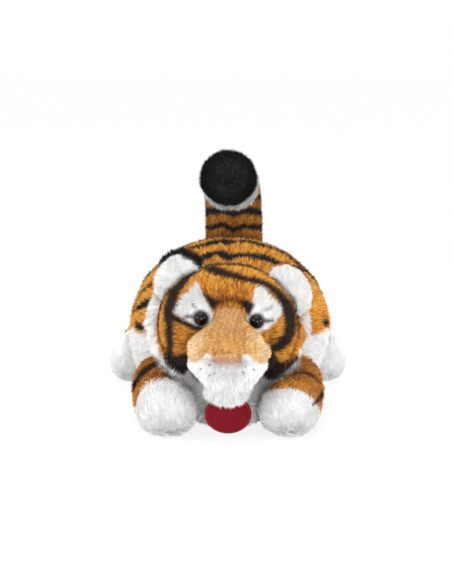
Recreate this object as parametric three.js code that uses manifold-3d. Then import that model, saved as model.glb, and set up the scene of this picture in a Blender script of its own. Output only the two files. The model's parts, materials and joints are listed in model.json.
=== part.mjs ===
// A plush tiger that lies on its belly, in millimetres. +Z is up and the face looks along -Y.
// Left and right are the toy's own: its left is at +X.
import * as THREE from 'three';
import { mergeVertices } from 'three/addons/utils/BufferGeometryUtils.js';
import Module from 'manifold-3d';

const wasm = await Module();
wasm.setup();

// Cloth, seams and cuts
const coverWall = 4;
const seamGap = 0.3;
const flatCut = 0.5;
const overrun = 400;
const weldLimit = 0.0001;
const splineTension = 0.5;

// Body: each row is a place along the body, half width, top and height of the widest line
const bodyLength = 307;
const bodyHalfWidth = 106;
const bodyTop = 158;
const bodyFrontRound = 32;
const bodyBackRound = 50;
const bodyFrontShare = 0.43;
const bodyFullness = 2.15;
const bodyShares = [
  [0.00, 0.40, 0.28, 0.15],
  [0.15, 0.50, 0.34, 0.18],
  [0.30, 0.80, 0.58, 0.27],
  [0.45, 0.96, 0.83, 0.35],
  [0.62, 1.00, 0.97, 0.39],
  [0.78, 0.98, 1.00, 0.39],
  [0.90, 0.88, 0.95, 0.36],
  [1.00, 0.74, 0.86, 0.33],
];
const bellySeamShare = 0.13;

// Head: each row is a place along the head from the face, half width, height above and below the centre
const headLength = 110;
const headHalfWidth = 67;
const headAbove = 56;
const headBelow = 54;
const headFrontRound = 36;
const headBackRound = 40;
const headCentreHeight = 104;
const headPlaceShare = 0.117;
const headFrontShare = 0.53;
const headFullness = 2.1;
const headTiltDegrees = 3;
const headShares = [
  [0.00, 0.90, 0.94, 0.90],
  [0.40, 1.00, 1.00, 1.00],
  [0.75, 0.98, 1.00, 1.00],
  [1.00, 0.84, 0.92, 0.92],
];
const faceSeamShare = 0.47;

// Neck: the head's back and underside are part of a ball that sits in a cloth cup
const neckBall = 53;
const neckWall = 6;
const neckLeanDegrees = 45;
const headNeckShare = 0.30;
const gussetNeckShare = 0.62;

// Face pieces, placed from the head's centre: outward or across, forward, up
const bridgeHalfWidth = 40;
const bridgeThick = 13;
const bridgeRound = 14;
const bridgeReach = 90;
const bridgeFullness = 2.2;
const bridgeRise = 26;
const bridgeShares = [
  [0.58, 1.00, 0.40, 0.80],
  [0.72, 0.46, 0.46, 0.90],
  [0.84, -0.08, 0.84, 1.00],
  [0.98, -0.72, 1.00, 0.90],
];
const muzzleHalfWidth = 39;
const muzzleHalfHeight = 18;
const muzzleHalfDepth = 17;
const muzzleForward = 75;
const muzzleDrop = 30;
const muzzleRound = 20;
const muzzleShares = [
  [-1.0, 0.80],
  [-0.5, 1.00],
  [0.0, 0.90],
  [0.5, 1.00],
  [1.0, 0.80],
];
const chinHalfWidth = 26;
const chinHalfHeight = 15;
const chinHalfDepth = 16;
const chinForward = 64;
const chinDrop = 50;
const noseHalfWidth = 14;
const noseHalfHeight = 6.5;
const noseHalfDepth = 5;
const noseForward = 92;
const noseDrop = 18;
const ruffHalfWidth = 9;
const ruffHalfDepth = 13;
const ruffRound = 12;
const trimFullness = 2;
const trimRoundShare = 0.7;
const ruffShares = [
  [0.83, -0.10, 0.50],
  [1.01, -0.02, 0.05],
  [0.90, 0.08, -0.50],
  [0.56, 0.16, -0.88],
];

// Eyes: a dome and post through the face, and a washer behind the cloth
const eyeRadius = 6.8;
const eyeDome = 4.5;
const eyeSide = 26;
const eyeRise = 11;
const eyeSink = 1.2;
const eyeTurnShare = 0.45;
const postRadius = 2;
const postLength = 9;
const washerRadius = 6.5;
const washerThick = 1.6;

// Ears: two layers on a sewn root that folds in a groove at the seam of the head
const earLength = 25;
const earHalfWidth = 30;
const earHalfThick = 5;
const earSink = 8;
const earRootRadius = 4;
const earRootDepth = 1;
const earRootShare = 1.2;
const earRoundShare = 0.7;
const earFullness = 2.3;
const earFoldDegrees = 15;
const earRim = 3.5;
const earLiningHalfThick = 3;
const earPlaceDegrees = { left: 59, right: 51 };
const earTiltDegrees = { left: 60, right: 48 };
const earShares = [
  [0.00, 0.86],
  [0.35, 1.00],
  [0.70, 1.00],
  [1.00, 0.90],
];

const legFullness = 2.2;

// Forelegs: each row is a place along the leg, how far it is drawn in, half height and half width
const forelegLength = 128;
const forelegOut = 66;
const forelegDrawIn = 10;
const forelegHalfHeight = 33;
const forelegHalfWidth = 32;
const forelegRound = 30;
const forelegPlaceShare = 0.305;
const forelegPivotShare = 0.16;
const pawSeamShare = 0.58;
const forelegSwingDegrees = 15;
const forelegShares = [
  [0.00, 0.00, 1.00, 0.90],
  [0.30, 0.05, 0.98, 0.92],
  [0.55, 0.45, 0.84, 0.90],
  [0.75, 0.85, 0.78, 1.00],
  [1.00, 1.00, 0.76, 1.00],
];

// Hind legs: the same kind of rows, and they spread outward
const hindLegLength = 92;
const hindLegOut = 80;
const hindLegDrawIn = -27;
const hindLegHalfHeight = 36;
const hindLegHalfWidth = 27;
const hindLegRound = 27;
const hindLegPlaceShare = 0.91;
const hindLegPivotShare = 0.22;
const footSeamShare = 0.36;
const hindLegSwingDegrees = 15;
const hindLegShares = [
  [0.00, 0.00, 0.94, 1.00],
  [0.35, 0.50, 0.83, 1.00],
  [0.70, 0.94, 0.74, 1.00],
  [1.00, 1.05, 0.73, 1.00],
];

// Tail: each row is a place sideways, forward and up from the root, half width and half depth
const tailLean = 7;
const tailReach = 76;
const tailRise = 107;
const tailHalfWidth = 33;
const tailHalfDepth = 29;
const tailRootRound = 16;
const tailTuftRound = 27;
const tailPlaceShare = 0.925;
const tailRootShare = 0.75;
const tailSide = 6;
const tailSwayDegrees = 15;
const tailRingShare = 0.63;
const tailTuftShare = 0.72;
const tailFullness = 2;
const tailShares = [
  [0.00, 0.00, 0.00, 1.00, 1.00],
  [0.14, -0.08, 0.39, 1.00, 1.00],
  [0.00, 0.00, 0.71, 0.97, 0.98],
  [-0.30, 0.28, 0.86, 0.95, 1.06],
  [-0.80, 0.62, 0.96, 0.83, 0.94],
  [-1.00, 1.00, 1.01, 0.82, 0.92],
];

// Tag: an oval patch on a tape that slopes back to the chest
const tagHalfWidth = 22;
const tagHalfHeight = 18.5;
const tagThick = 3;
const tagBevel = 0.8;
const tagFloorGap = 5;
const tagForward = 10;
const tapeWidth = 10;
const tapeThick = 1.4;
const tapeRise = 4;
const tapeRunShare = 2.4;
const tapeFallShare = 0.75;

// A piece is cleared where its neighbour turns, at these shares of the range
const swingShares = [0, 0.5, 1];
const swayShares = [-1, -0.4, 0.4, 1];
const foldShares = [-1, 0, 1];

// Counts of facets round a form or along it
const bodySides = 16;
const headSides = 14;
const limbSides = 10;
const trimSides = 8;
const ballSides = 24;
const ballRings = 8;
const roundSides = 10;
const capRings = 3;
const bodyRings = 5;
const headRings = 2;
const bridgeRings = 3;
const trimRings = 3;
const earRings = 1;
const legRings = 3;
const tailRings = 4;
const domeRings = 5;
const tagCurveSteps = 12;

// Colours and roughnesses
const orange = 0xd9822b;
const darkOrange = 0xcf7a28;
const gussetBrown = 0xb96a20;
const tan = 0xd9a066;
const white = 0xf7f6f4;
const bellyWhite = 0xf1efea;
const fibreWhite = 0xf4f4f2;
const black = 0x17161a;
const earBlack = 0x2a2422;
const pink = 0xd08f83;
const eyeBrown = 0x1a0d08;
const washerWhite = 0xe8e8e4;
const tagRed = 0xb01228;
const fur = 0.95;
const pile = 0.9;
const fibre = 1;
const ribbed = 0.8;
const moulded = 0.5;
const glossy = 0.1;

const across = new THREE.Vector3(1, 0, 0);
const forward = new THREE.Vector3(0, -1, 0);
const up = new THREE.Vector3(0, 0, 1);

// Solids: a closed geometry becomes a manifold, and joins and cuts work on those
function solidOf(geometry) {
  const bare = geometry.clone();
  for (const name of Object.keys(bare.attributes)) {
    if (name !== 'position') bare.deleteAttribute(name);
  }
  const welded = mergeVertices(bare, weldLimit);
  const vertProperties = new Float32Array(welded.attributes.position.array);
  const triVerts = new Uint32Array(welded.index.array);
  return new wasm.Manifold(new wasm.Mesh({ numProp: 3, vertProperties, triVerts }));
}

function cut(solid, ...tools) {
  return tools.reduce((left, tool) => left.subtract(tool), solid);
}

function keep(solid, ...blocks) {
  return blocks.reduce((left, block) => left.intersect(block), solid);
}

function join(solids) {
  return solids.reduce((left, next) => left.add(next));
}

function place(solids, name, colour, roughness) {
  const mesh = solids.getMesh();
  const geometry = new THREE.BufferGeometry();
  geometry.setAttribute('position', new THREE.BufferAttribute(new Float32Array(mesh.vertProperties), 3));
  geometry.setIndex(new THREE.BufferAttribute(new Uint32Array(mesh.triVerts), 1));
  geometry.computeVertexNormals();
  const material = new THREE.MeshStandardMaterial({ color: colour, roughness, metalness: 0 });
  const piece = new THREE.Mesh(geometry, material);
  piece.name = name;
  return piece;
}

// Places where a form is turned about a pivot
function turnAbout(pivot, axis, degrees) {
  const back = new THREE.Matrix4().makeTranslation(-pivot.x, -pivot.y, -pivot.z);
  const turn = new THREE.Matrix4().makeRotationAxis(axis, THREE.MathUtils.degToRad(degrees));
  const there = new THREE.Matrix4().makeTranslation(pivot.x, pivot.y, pivot.z);
  return there.multiply(turn).multiply(back);
}

// Half space beyond a plane, as a block as large as the overrun
function beyond(point, normal) {
  const block = new THREE.BoxGeometry(overrun, overrun, overrun);
  const face = new THREE.Quaternion().setFromUnitVectors(up, normal.clone().normalize());
  block.applyQuaternion(face);
  const middle = normal.clone().normalize().multiplyScalar(overrun / 2).add(point);
  block.translate(middle.x, middle.y, middle.z);
  return solidOf(block);
}

// A faceted ball with its poles on an axis
function ball(centre, radius, pole) {
  const sphere = new THREE.SphereGeometry(radius, ballSides, ballRings);
  sphere.applyQuaternion(new THREE.Quaternion().setFromUnitVectors(new THREE.Vector3(0, 1, 0), pole));
  sphere.translate(centre.x, centre.y, centre.z);
  return solidOf(sphere);
}

// The radius of a hollow whose flats clear such a ball while it turns about its poles
const hollowShare = 1 / Math.cos(Math.PI / ballSides);
const hollowRadius = (radius) => (radius + seamGap) * hollowShare;

// The same for a groove that a rod turns in
const grooveShare = 1 / Math.cos(Math.PI / roundSides);

// A rod or washer blank along a direction, from one place for a length
function rod(start, direction, radius, length) {
  const cylinder = new THREE.CylinderGeometry(radius, radius, length, roundSides);
  cylinder.translate(0, length / 2, 0);
  const aim = new THREE.Quaternion().setFromUnitVectors(new THREE.Vector3(0, 1, 0), direction);
  cylinder.applyQuaternion(aim);
  cylinder.translate(start.x, start.y, start.z);
  return solidOf(cylinder);
}

// Padded forms. A form has a spine, its half sizes at each spine point (width, above, below), how
// far its two ends are rounded, and how full its section is. Its rings swell and taper along the
// spine. A positive grow makes it larger all over and a negative one smaller.
function ringPlaces(length, startRound, endRound, grow, middleRings) {
  const places = [];
  for (let k = 1; k <= capRings; k += 1) {
    const angle = (Math.PI / 2) * (k / capRings);
    const reach = startRound + grow;
    places.push({ s: -grow + reach * (1 - Math.cos(angle)), swell: Math.sin(angle) });
  }
  const middle = length - startRound - endRound;
  for (let k = 1; k < middleRings; k += 1) {
    places.push({ s: startRound + (middle * k) / middleRings, swell: 1 });
  }
  for (let k = capRings; k >= 1; k -= 1) {
    const angle = (Math.PI / 2) * (k / capRings);
    const reach = endRound + grow;
    places.push({ s: length + grow - reach * (1 - Math.cos(angle)), swell: Math.sin(angle) });
  }
  return places;
}

function spineFrame(form, curve, sizes, length, s) {
  const u = THREE.MathUtils.clamp(s / length, 0, 1);
  const t = curve.getUtoTmapping(u);
  const tangent = curve.getTangent(t);
  const point = curve.getPoint(t).addScaledVector(tangent, s - u * length);
  const side = form.side ? form.side.clone() : new THREE.Vector3().crossVectors(tangent, up).normalize();
  const rise = form.upright ? up.clone() : new THREE.Vector3().crossVectors(side, tangent).normalize();
  return { point, side, rise, size: sizes.getPoint(t) };
}

function rounded(value, fullness) {
  return Math.sign(value) * Math.abs(value) ** (2 / fullness);
}

function paddedGeometry(form, grow) {
  const curve = new THREE.CatmullRomCurve3(form.spine);
  const sizes = new THREE.CatmullRomCurve3(form.sizes, false, 'catmullrom', splineTension);
  const length = curve.getLength();
  const places = ringPlaces(length, form.startRound, form.endRound, grow, form.middleRings);
  const points = [spineFrame(form, curve, sizes, length, -grow).point];
  for (const { s, swell } of places) {
    const { point, side, rise, size } = spineFrame(form, curve, sizes, length, s);
    for (let k = 0; k < form.sides; k += 1) {
      const angle = (2 * Math.PI * (k + 0.5)) / form.sides - Math.PI / 2;
      const wide = (size.x + grow) * swell * rounded(Math.cos(angle), form.fullness);
      const reach = (Math.sin(angle) > 0 ? size.y : size.z) + grow;
      const high = reach * swell * rounded(Math.sin(angle), form.fullness);
      points.push(point.clone().addScaledVector(side, wide).addScaledVector(rise, high));
    }
  }
  points.push(spineFrame(form, curve, sizes, length, length + grow).point);
  const faces = ringFaces(places.length, form.sides, points.length - 1);
  const geometry = new THREE.BufferGeometry().setFromPoints(points);
  geometry.setIndex(faces);
  if (form.turn) geometry.applyMatrix4(form.turn);
  return geometry;
}

function ringFaces(rings, sides, last) {
  const faces = [];
  for (let k = 0; k < sides; k += 1) {
    const next = (k + 1) % sides;
    faces.push(0, 1 + next, 1 + k);
    for (let ring = 0; ring < rings - 1; ring += 1) {
      const here = 1 + ring * sides;
      const there = here + sides;
      faces.push(here + k, here + next, there + k);
      faces.push(here + next, there + next, there + k);
    }
    const end = 1 + (rings - 1) * sides;
    faces.push(end + k, end + next, last);
  }
  return faces;
}

function signedVolume(geometry) {
  const position = geometry.attributes.position;
  const corner = [0, 1, 2].map(() => new THREE.Vector3());
  let total = 0;
  for (let k = 0; k < geometry.index.count; k += 3) {
    corner.forEach((point, j) => point.fromBufferAttribute(position, geometry.index.getX(k + j)));
    total += corner[0].dot(corner[1].cross(corner[2]));
  }
  return total;
}

function padded(form, grow = 0, turn = new THREE.Matrix4()) {
  const geometry = paddedGeometry(form, grow);
  geometry.applyMatrix4(turn);
  if (signedVolume(geometry) < 0) geometry.setIndex([...geometry.index.array].reverse());
  return solidOf(geometry);
}

const aboveFloor = beyond(new THREE.Vector3(), up);

// How far the flats of a faceted ring lie from its middle, as a share of its half height
function flatReachShare(sides, fullness) {
  return Math.cos(Math.PI / sides) ** (2 / fullness);
}

// Body
const alongBody = (share) => (share - bodyFrontShare) * bodyLength;

const bodyForm = {
  spine: bodyShares.map(([along, , , waist]) => new THREE.Vector3(0, alongBody(along), waist * bodyTop)),
  sizes: bodyShares.map(([, wide, top, waist]) => new THREE.Vector3(
    wide * bodyHalfWidth,
    (top - waist) * bodyTop,
    (waist * bodyTop + flatCut) / flatReachShare(bodySides, bodyFullness),
  )),
  side: across,
  upright: true,
  startRound: bodyFrontRound,
  endRound: bodyBackRound,
  fullness: bodyFullness,
  sides: bodySides,
  middleRings: bodyRings,
};

const headCentre = new THREE.Vector3(0, alongBody(headPlaceShare), headCentreHeight);
const gussetInside = hollowRadius(neckBall);
const gussetOutside = gussetInside + neckWall;
const neckSocket = ball(headCentre, hollowRadius(gussetOutside), up);

function bodyPieces() {
  const outer = cut(keep(padded(bodyForm), aboveFloor), neckSocket);
  const shell = cut(outer, padded(bodyForm, -coverWall));
  const seamHeight = bellySeamShare * bodyTop;
  const upper = beyond(new THREE.Vector3(0, 0, seamHeight + seamGap / 2), up);
  const lower = beyond(new THREE.Vector3(0, 0, seamHeight - seamGap / 2), up.clone().negate());
  const leftHalf = beyond(new THREE.Vector3(seamGap / 2, 0, 0), across);
  const rightHalf = beyond(new THREE.Vector3(-seamGap / 2, 0, 0), across.clone().negate());
  return [
    place(keep(shell, upper, leftHalf), 'back_panel_left', orange, pile),
    place(keep(shell, upper, rightHalf), 'back_panel_right', orange, pile),
    place(keep(shell, lower), 'belly_panel', bellyWhite, pile),
    place(cut(padded(bodyForm, -coverWall - seamGap), neckSocket), 'body_filling', fibreWhite, fibre),
  ];
}

// The space that the body takes up while a piece turns about its own pivot
function bodySweep(pivot, axis, angles) {
  return join(angles.map((degrees) => padded(bodyForm, seamGap, turnAbout(pivot, axis, -degrees))));
}

// Head
const headTurn = turnAbout(headCentre, forward, -headTiltDegrees);

function fromHead(outward, ahead, rise) {
  return new THREE.Vector3(outward, headCentre.y - ahead, headCentre.z + rise);
}

function fromHeadTilted(outward, ahead, rise) {
  return fromHead(outward, ahead, rise).applyMatrix4(headTurn);
}

const headFront = headFrontShare * headLength;
const faceSeam = headFront - faceSeamShare * headLength;
const headForm = {
  spine: headShares.map(([along]) => fromHead(0, headFront - along * headLength, 0)),
  sizes: headShares.map(([, wide, above, below]) => new THREE.Vector3(
    wide * headHalfWidth,
    above * headAbove,
    below * headBelow,
  )),
  side: across,
  upright: true,
  startRound: headFrontRound,
  endRound: headBackRound,
  fullness: headFullness,
  sides: headSides,
  middleRings: headRings,
  turn: headTurn,
};

const neckLean = THREE.MathUtils.degToRad(neckLeanDegrees);
const towardBody = new THREE.Vector3(0, Math.cos(neckLean), -Math.sin(neckLean));

function neckZone(distance) {
  return beyond(headCentre.clone().addScaledVector(towardBody, distance), towardBody);
}

// The head, whose back and underside are a ball about its centre where they face the body
function headSolid(grow) {
  const zone = neckZone(headNeckShare * neckBall + grow);
  return cut(padded(headForm, grow), cut(zone, ball(headCentre, neckBall + grow, across)));
}

const eyes = [['left', 1], ['right', -1]].map(([name, hand]) => {
  const wide = headShares[0][1] * headHalfWidth;
  const high = headShares[0][2] * headAbove;
  const reach = Math.hypot(eyeSide / wide, eyeRise / high);
  const depth = headFrontRound * (1 - Math.sqrt(1 - reach * reach));
  const seat = fromHeadTilted(hand * eyeSide, headFront - depth - eyeSink, eyeRise);
  const aim = new THREE.Vector3(hand * eyeTurnShare * reach, -1, eyeTurnShare * reach * (eyeRise / eyeSide));
  return { name, seat, aim: aim.normalize() };
});

function eyeSeats() {
  return join(eyes.flatMap(({ seat, aim }) => {
    const floor = seat.clone().addScaledVector(aim, -seamGap);
    const inward = aim.clone().negate();
    return [
      rod(floor, aim, eyeRadius + seamGap, overrun / 2),
      rod(seat, inward, postRadius + seamGap, postLength + seamGap),
    ];
  }));
}

function washerStart(seat, aim) {
  return seat.clone().addScaledVector(aim, -(coverWall + washerThick + 2 * seamGap));
}

function headPieces() {
  const shell = cut(headSolid(0), headSolid(-coverWall), eyeSeats(), earGrooves());
  const front = beyond(fromHeadTilted(0, faceSeam + seamGap / 2, 0), forward);
  const back = beyond(fromHeadTilted(0, faceSeam - seamGap / 2, 0), forward.clone().negate());
  const washerRoom = join(eyes.map(({ seat, aim }) => rod(
    washerStart(seat, aim).addScaledVector(aim, -seamGap),
    aim,
    washerRadius + seamGap,
    coverWall + washerThick,
  )));
  const filling = cut(headSolid(-coverWall - seamGap), eyeSeats(), washerRoom, earGrooves());
  return [
    place(keep(shell, front), 'face_panel', orange, pile),
    place(keep(shell, back), 'head_back_panel', darkOrange, pile),
    place(filling, 'head_filling', fibreWhite, fibre),
  ];
}

function neckGusset() {
  const cup = cut(ball(headCentre, gussetOutside, up), ball(headCentre, gussetInside, across));
  return place(keep(cup, neckZone(gussetNeckShare * neckBall)), 'neck_gusset', gussetBrown, fur);
}

function eyePieces() {
  return eyes.flatMap(({ name, seat, aim }) => {
    const profile = [new THREE.Vector2(0, -postLength), new THREE.Vector2(postRadius, -postLength)];
    profile.push(new THREE.Vector2(postRadius, 0), new THREE.Vector2(eyeRadius, 0));
    for (let k = 1; k < domeRings; k += 1) {
      const angle = (Math.PI / 2) * (k / domeRings);
      profile.push(new THREE.Vector2(eyeRadius * Math.cos(angle), eyeDome * Math.sin(angle)));
    }
    profile.push(new THREE.Vector2(0, eyeDome));
    const eye = new THREE.LatheGeometry(profile, roundSides);
    eye.applyQuaternion(new THREE.Quaternion().setFromUnitVectors(new THREE.Vector3(0, 1, 0), aim));
    eye.translate(seat.x, seat.y, seat.z);
    const start = washerStart(seat, aim);
    const hole = rod(start.clone().addScaledVector(aim, -postLength), aim, postRadius + seamGap, overrun);
    const washer = cut(rod(start, aim, washerRadius, washerThick), hole);
    return [
      place(solidOf(eye), `eye_${name}`, eyeBrown, glossy),
      place(washer, `eye_washer_${name}`, washerWhite, moulded),
    ];
  });
}

// Padded pieces on the face
const bridgeForm = {
  spine: bridgeShares.map(([ahead, rise]) => fromHead(0, ahead * bridgeReach, rise * bridgeRise)),
  sizes: bridgeShares.map(([, , wide, thick]) => new THREE.Vector3(
    wide * bridgeHalfWidth,
    thick * bridgeThick,
    thick * bridgeThick,
  )),
  side: across,
  startRound: bridgeRound,
  endRound: bridgeRound,
  fullness: bridgeFullness,
  sides: limbSides,
  middleRings: bridgeRings,
  turn: headTurn,
};

function sidewaysForm(rows, halfWidth, halfHeight, halfDepth, ahead, drop, round) {
  return {
    spine: rows.map(([out]) => fromHead(out * halfWidth, ahead, -drop)),
    sizes: rows.map(([, size]) => new THREE.Vector3(size * halfDepth, size * halfHeight, size * halfHeight)),
    side: forward,
    upright: true,
    startRound: round,
    endRound: round,
    fullness: trimFullness,
    sides: trimSides,
    middleRings: trimRings,
    turn: headTurn,
  };
}

const evenShares = [[-1, 1], [0, 1], [1, 1]];
const chinRound = trimRoundShare * chinHalfWidth;
const noseRound = trimRoundShare * noseHalfWidth;
const muzzleForm = sidewaysForm(
  muzzleShares, muzzleHalfWidth, muzzleHalfHeight, muzzleHalfDepth, muzzleForward, muzzleDrop, muzzleRound,
);
const chinForm = sidewaysForm(
  evenShares, chinHalfWidth, chinHalfHeight, chinHalfDepth, chinForward, chinDrop, chinRound,
);
const noseForm = sidewaysForm(
  evenShares, noseHalfWidth, noseHalfHeight, noseHalfDepth, noseForward, noseDrop, noseRound,
);

function facePieces() {
  const head = headSolid(seamGap);
  const bridge = cut(padded(bridgeForm), head, eyeSeats());
  const muzzle = cut(padded(muzzleForm), head, padded(bridgeForm, seamGap));
  const chin = cut(padded(chinForm), head, padded(muzzleForm, seamGap), padded(bridgeForm, seamGap));
  const nose = cut(padded(noseForm), padded(muzzleForm, seamGap), padded(bridgeForm, seamGap));
  return [
    place(bridge, 'nose_bridge', tan, pile),
    place(muzzle, 'muzzle', white, pile),
    place(chin, 'chin', white, pile),
    place(nose, 'nose', pink, ribbed),
  ];
}

// Ears
const ears = [['left', 1], ['right', -1]].map(([name, hand]) => {
  const tilt = THREE.MathUtils.degToRad(earTiltDegrees[name]);
  const spot = THREE.MathUtils.degToRad(earPlaceDegrees[name]);
  const outward = new THREE.Vector3(hand * Math.sin(spot), 0, Math.cos(spot));
  const wide = Math.abs(outward.x / headHalfWidth) ** headFullness;
  const high = Math.abs(outward.z / headAbove) ** headFullness;
  const reach = (wide + high) ** (-1 / headFullness) - earRootDepth;
  const root = fromHeadTilted(outward.x * reach, faceSeam, outward.z * reach);
  const grows = new THREE.Vector3(hand * Math.sin(tilt), 0, Math.cos(tilt));
  const base = new THREE.Vector3().crossVectors(grows, forward).normalize();
  return { name, root, grows, base };
});

function earForm({ root, grows, base }, halfWidth, halfThick, ahead, start, length) {
  const from = root.clone().addScaledVector(forward, ahead).addScaledVector(grows, start);
  return {
    spine: earShares.map(([along]) => from.clone().addScaledVector(grows, along * length)),
    sizes: earShares.map(([, wide]) => new THREE.Vector3(wide * halfWidth, halfThick, halfThick)),
    side: base,
    startRound: halfThick,
    endRound: earRoundShare * length,
    fullness: earFullness,
    sides: trimSides,
    middleRings: earRings,
  };
}

function earRoot({ root, base }, radius, clearance) {
  const length = earRootShare * earHalfWidth + 2 * clearance;
  return rod(root.clone().addScaledVector(base, -length / 2), base, radius + clearance, length);
}

function earGrooves() {
  return join(ears.map((ear) => earRoot(ear, earRootRadius * grooveShare, seamGap)));
}

const earBackForm = (ear) => earForm(ear, earHalfWidth, earHalfThick, 0, -earSink, earLength + earSink);

// The space that the ears take up while they fold about their sewn roots
function earRoom() {
  return join(ears.flatMap((ear) => {
    const turns = foldShares.map((share) => turnAbout(ear.root, ear.base, share * earFoldDegrees));
    return [
      ...turns.map((turn) => padded(earBackForm(ear), 2 * seamGap, turn)),
      earRoot(ear, earRootRadius * grooveShare, seamGap),
    ];
  }));
}

// The space that the head takes up while an ear folds
function headSweep({ root, base }) {
  const turns = foldShares.map((share) => turnAbout(root, base, -share * earFoldDegrees));
  return join(turns.map((turn) => padded(headForm, seamGap, turn)));
}

function earPieces() {
  return ears.flatMap((ear) => {
    const inner = earHalfWidth - earRim;
    const liningLength = earLength + earSink - earRim;
    const lining = earForm(ear, inner, earLiningHalfThick, earHalfThick, -earSink, liningLength);
    const head = headSweep(ear);
    const layer = cut(padded(earBackForm(ear)), head, padded(lining, seamGap));
    const root = cut(earRoot(ear, earRootRadius, 0), padded(lining, seamGap));
    return [
      place(join([layer, root]), `ear_back_${ear.name}`, earBlack, fur),
      place(cut(padded(lining), head), `ear_lining_${ear.name}`, white, pile),
    ];
  });
}

// Long fur round the sides of the head
function ruffForm(hand) {
  return {
    spine: ruffShares.map(([out, ahead, rise]) => fromHead(
      hand * out * headHalfWidth,
      ahead * headHalfWidth,
      rise * headBelow,
    )),
    sizes: ruffShares.map(() => new THREE.Vector3(ruffHalfDepth, ruffHalfWidth, ruffHalfWidth)),
    side: forward,
    startRound: ruffRound,
    endRound: ruffRound,
    fullness: trimFullness,
    sides: trimSides,
    middleRings: trimRings,
    turn: headTurn,
  };
}

function ruffPieces() {
  const neighbours = [headSolid(seamGap), padded(chinForm, seamGap), padded(muzzleForm, seamGap), earRoom()];
  return [['left', 1], ['right', -1]].map(([name, hand]) => place(
    cut(padded(ruffForm(hand)), ...neighbours),
    `cheek_ruff_${name}`,
    white,
    fur,
  ));
}

// Legs: a striped sleeve, a white paw or foot, and the filling of both
function legForm(leg, hand) {
  const rows = leg.rows.map(([along, drawn, high, wide]) => ({
    point: new THREE.Vector3(
      hand * (leg.out - drawn * leg.drawIn),
      leg.start - along * leg.length,
      high * leg.halfHeight - flatCut,
    ),
    size: new THREE.Vector3(
      wide * leg.halfWidth,
      high * leg.halfHeight,
      (high * leg.halfHeight) / flatReachShare(limbSides, leg.fullness),
    ),
  }));
  return {
    spine: rows.map(({ point }) => point),
    sizes: rows.map(({ size }) => size),
    upright: true,
    startRound: leg.round,
    endRound: leg.round,
    fullness: leg.fullness,
    sides: limbSides,
    middleRings: legRings,
  };
}

function legPivot(leg, hand) {
  return new THREE.Vector3(hand * leg.out, leg.start - leg.pivotShare * leg.length, 0);
}

function seamPlanes(form, share) {
  const curve = new THREE.CatmullRomCurve3(form.spine);
  const point = curve.getPointAt(share);
  const tangent = curve.getTangentAt(share);
  const shift = tangent.clone().multiplyScalar(seamGap / 2);
  const after = beyond(point.clone().add(shift), tangent);
  const before = beyond(point.clone().sub(shift), tangent.clone().negate());
  return { before, after };
}

function legPieces(leg) {
  return [['left', 1], ['right', -1]].flatMap(([name, hand]) => {
    const form = legForm(leg, hand);
    const pivot = legPivot(leg, hand);
    const swing = up.clone().multiplyScalar(hand);
    const angles = swingShares.map((share) => share * leg.swing);
    const sweep = bodySweep(pivot, swing, angles);
    const shell = cut(keep(padded(form), aboveFloor), padded(form, -coverWall), sweep, ...leg.clearOf);
    const { before, after } = seamPlanes(form, leg.seamShare);
    const filling = cut(padded(form, -coverWall - seamGap), sweep, ...leg.clearOf);
    return [
      place(keep(shell, before), `${leg.sleeve}_${name}`, orange, pile),
      place(keep(shell, after), `${leg.end}_${name}`, white, pile),
      place(filling, `${leg.filling}_${name}`, fibreWhite, fibre),
    ];
  });
}

const headRoom = ball(headCentre, headHalfWidth + ruffHalfWidth, up);
const foreleg = {
  rows: forelegShares,
  length: forelegLength,
  out: forelegOut,
  drawIn: forelegDrawIn,
  halfHeight: forelegHalfHeight,
  halfWidth: forelegHalfWidth,
  round: forelegRound,
  fullness: legFullness,
  start: alongBody(forelegPlaceShare),
  pivotShare: forelegPivotShare,
  seamShare: pawSeamShare,
  swing: forelegSwingDegrees,
  clearOf: [headRoom],
  sleeve: 'foreleg_sleeve',
  end: 'front_paw',
  filling: 'foreleg_filling',
};
const hindLeg = {
  rows: hindLegShares,
  length: hindLegLength,
  out: hindLegOut,
  drawIn: hindLegDrawIn,
  halfHeight: hindLegHalfHeight,
  halfWidth: hindLegHalfWidth,
  round: hindLegRound,
  fullness: legFullness,
  start: alongBody(hindLegPlaceShare),
  pivotShare: hindLegPivotShare,
  seamShare: footSeamShare,
  swing: hindLegSwingDegrees,
  clearOf: [],
  sleeve: 'hind_leg_sleeve',
  end: 'hind_foot',
  filling: 'hind_leg_filling',
};

// Tail
const tailRoot = new THREE.Vector3(tailSide, alongBody(tailPlaceShare), tailRootShare * bodyTop);
const tailForm = {
  spine: tailShares.map(([side, ahead, rise]) => new THREE.Vector3(
    tailRoot.x + side * tailLean,
    tailRoot.y - ahead * tailReach,
    tailRoot.z + rise * tailRise,
  )),
  sizes: tailShares.map(([, , , wide, deep]) => new THREE.Vector3(
    wide * tailHalfWidth,
    deep * tailHalfDepth,
    deep * tailHalfDepth,
  )),
  side: across,
  startRound: tailRootRound,
  endRound: tailTuftRound,
  fullness: tailFullness,
  sides: limbSides,
  middleRings: tailRings,
};

function tailPieces() {
  const angles = swayShares.map((share) => share * tailSwayDegrees);
  const sweep = bodySweep(tailRoot, new THREE.Vector3(0, 1, 0), angles);
  const shell = cut(padded(tailForm), padded(tailForm, -coverWall), sweep);
  const ring = seamPlanes(tailForm, tailRingShare);
  const tuft = seamPlanes(tailForm, tailTuftShare);
  const filling = cut(padded(tailForm, -coverWall - seamGap), sweep);
  return [
    place(keep(shell, ring.before), 'tail_sleeve', orange, pile),
    place(keep(shell, ring.after, tuft.before), 'tail_ring', white, pile),
    place(keep(shell, tuft.after), 'tail_tuft', black, fur),
    place(filling, 'tail_filling', fibreWhite, fibre),
  ];
}

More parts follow.
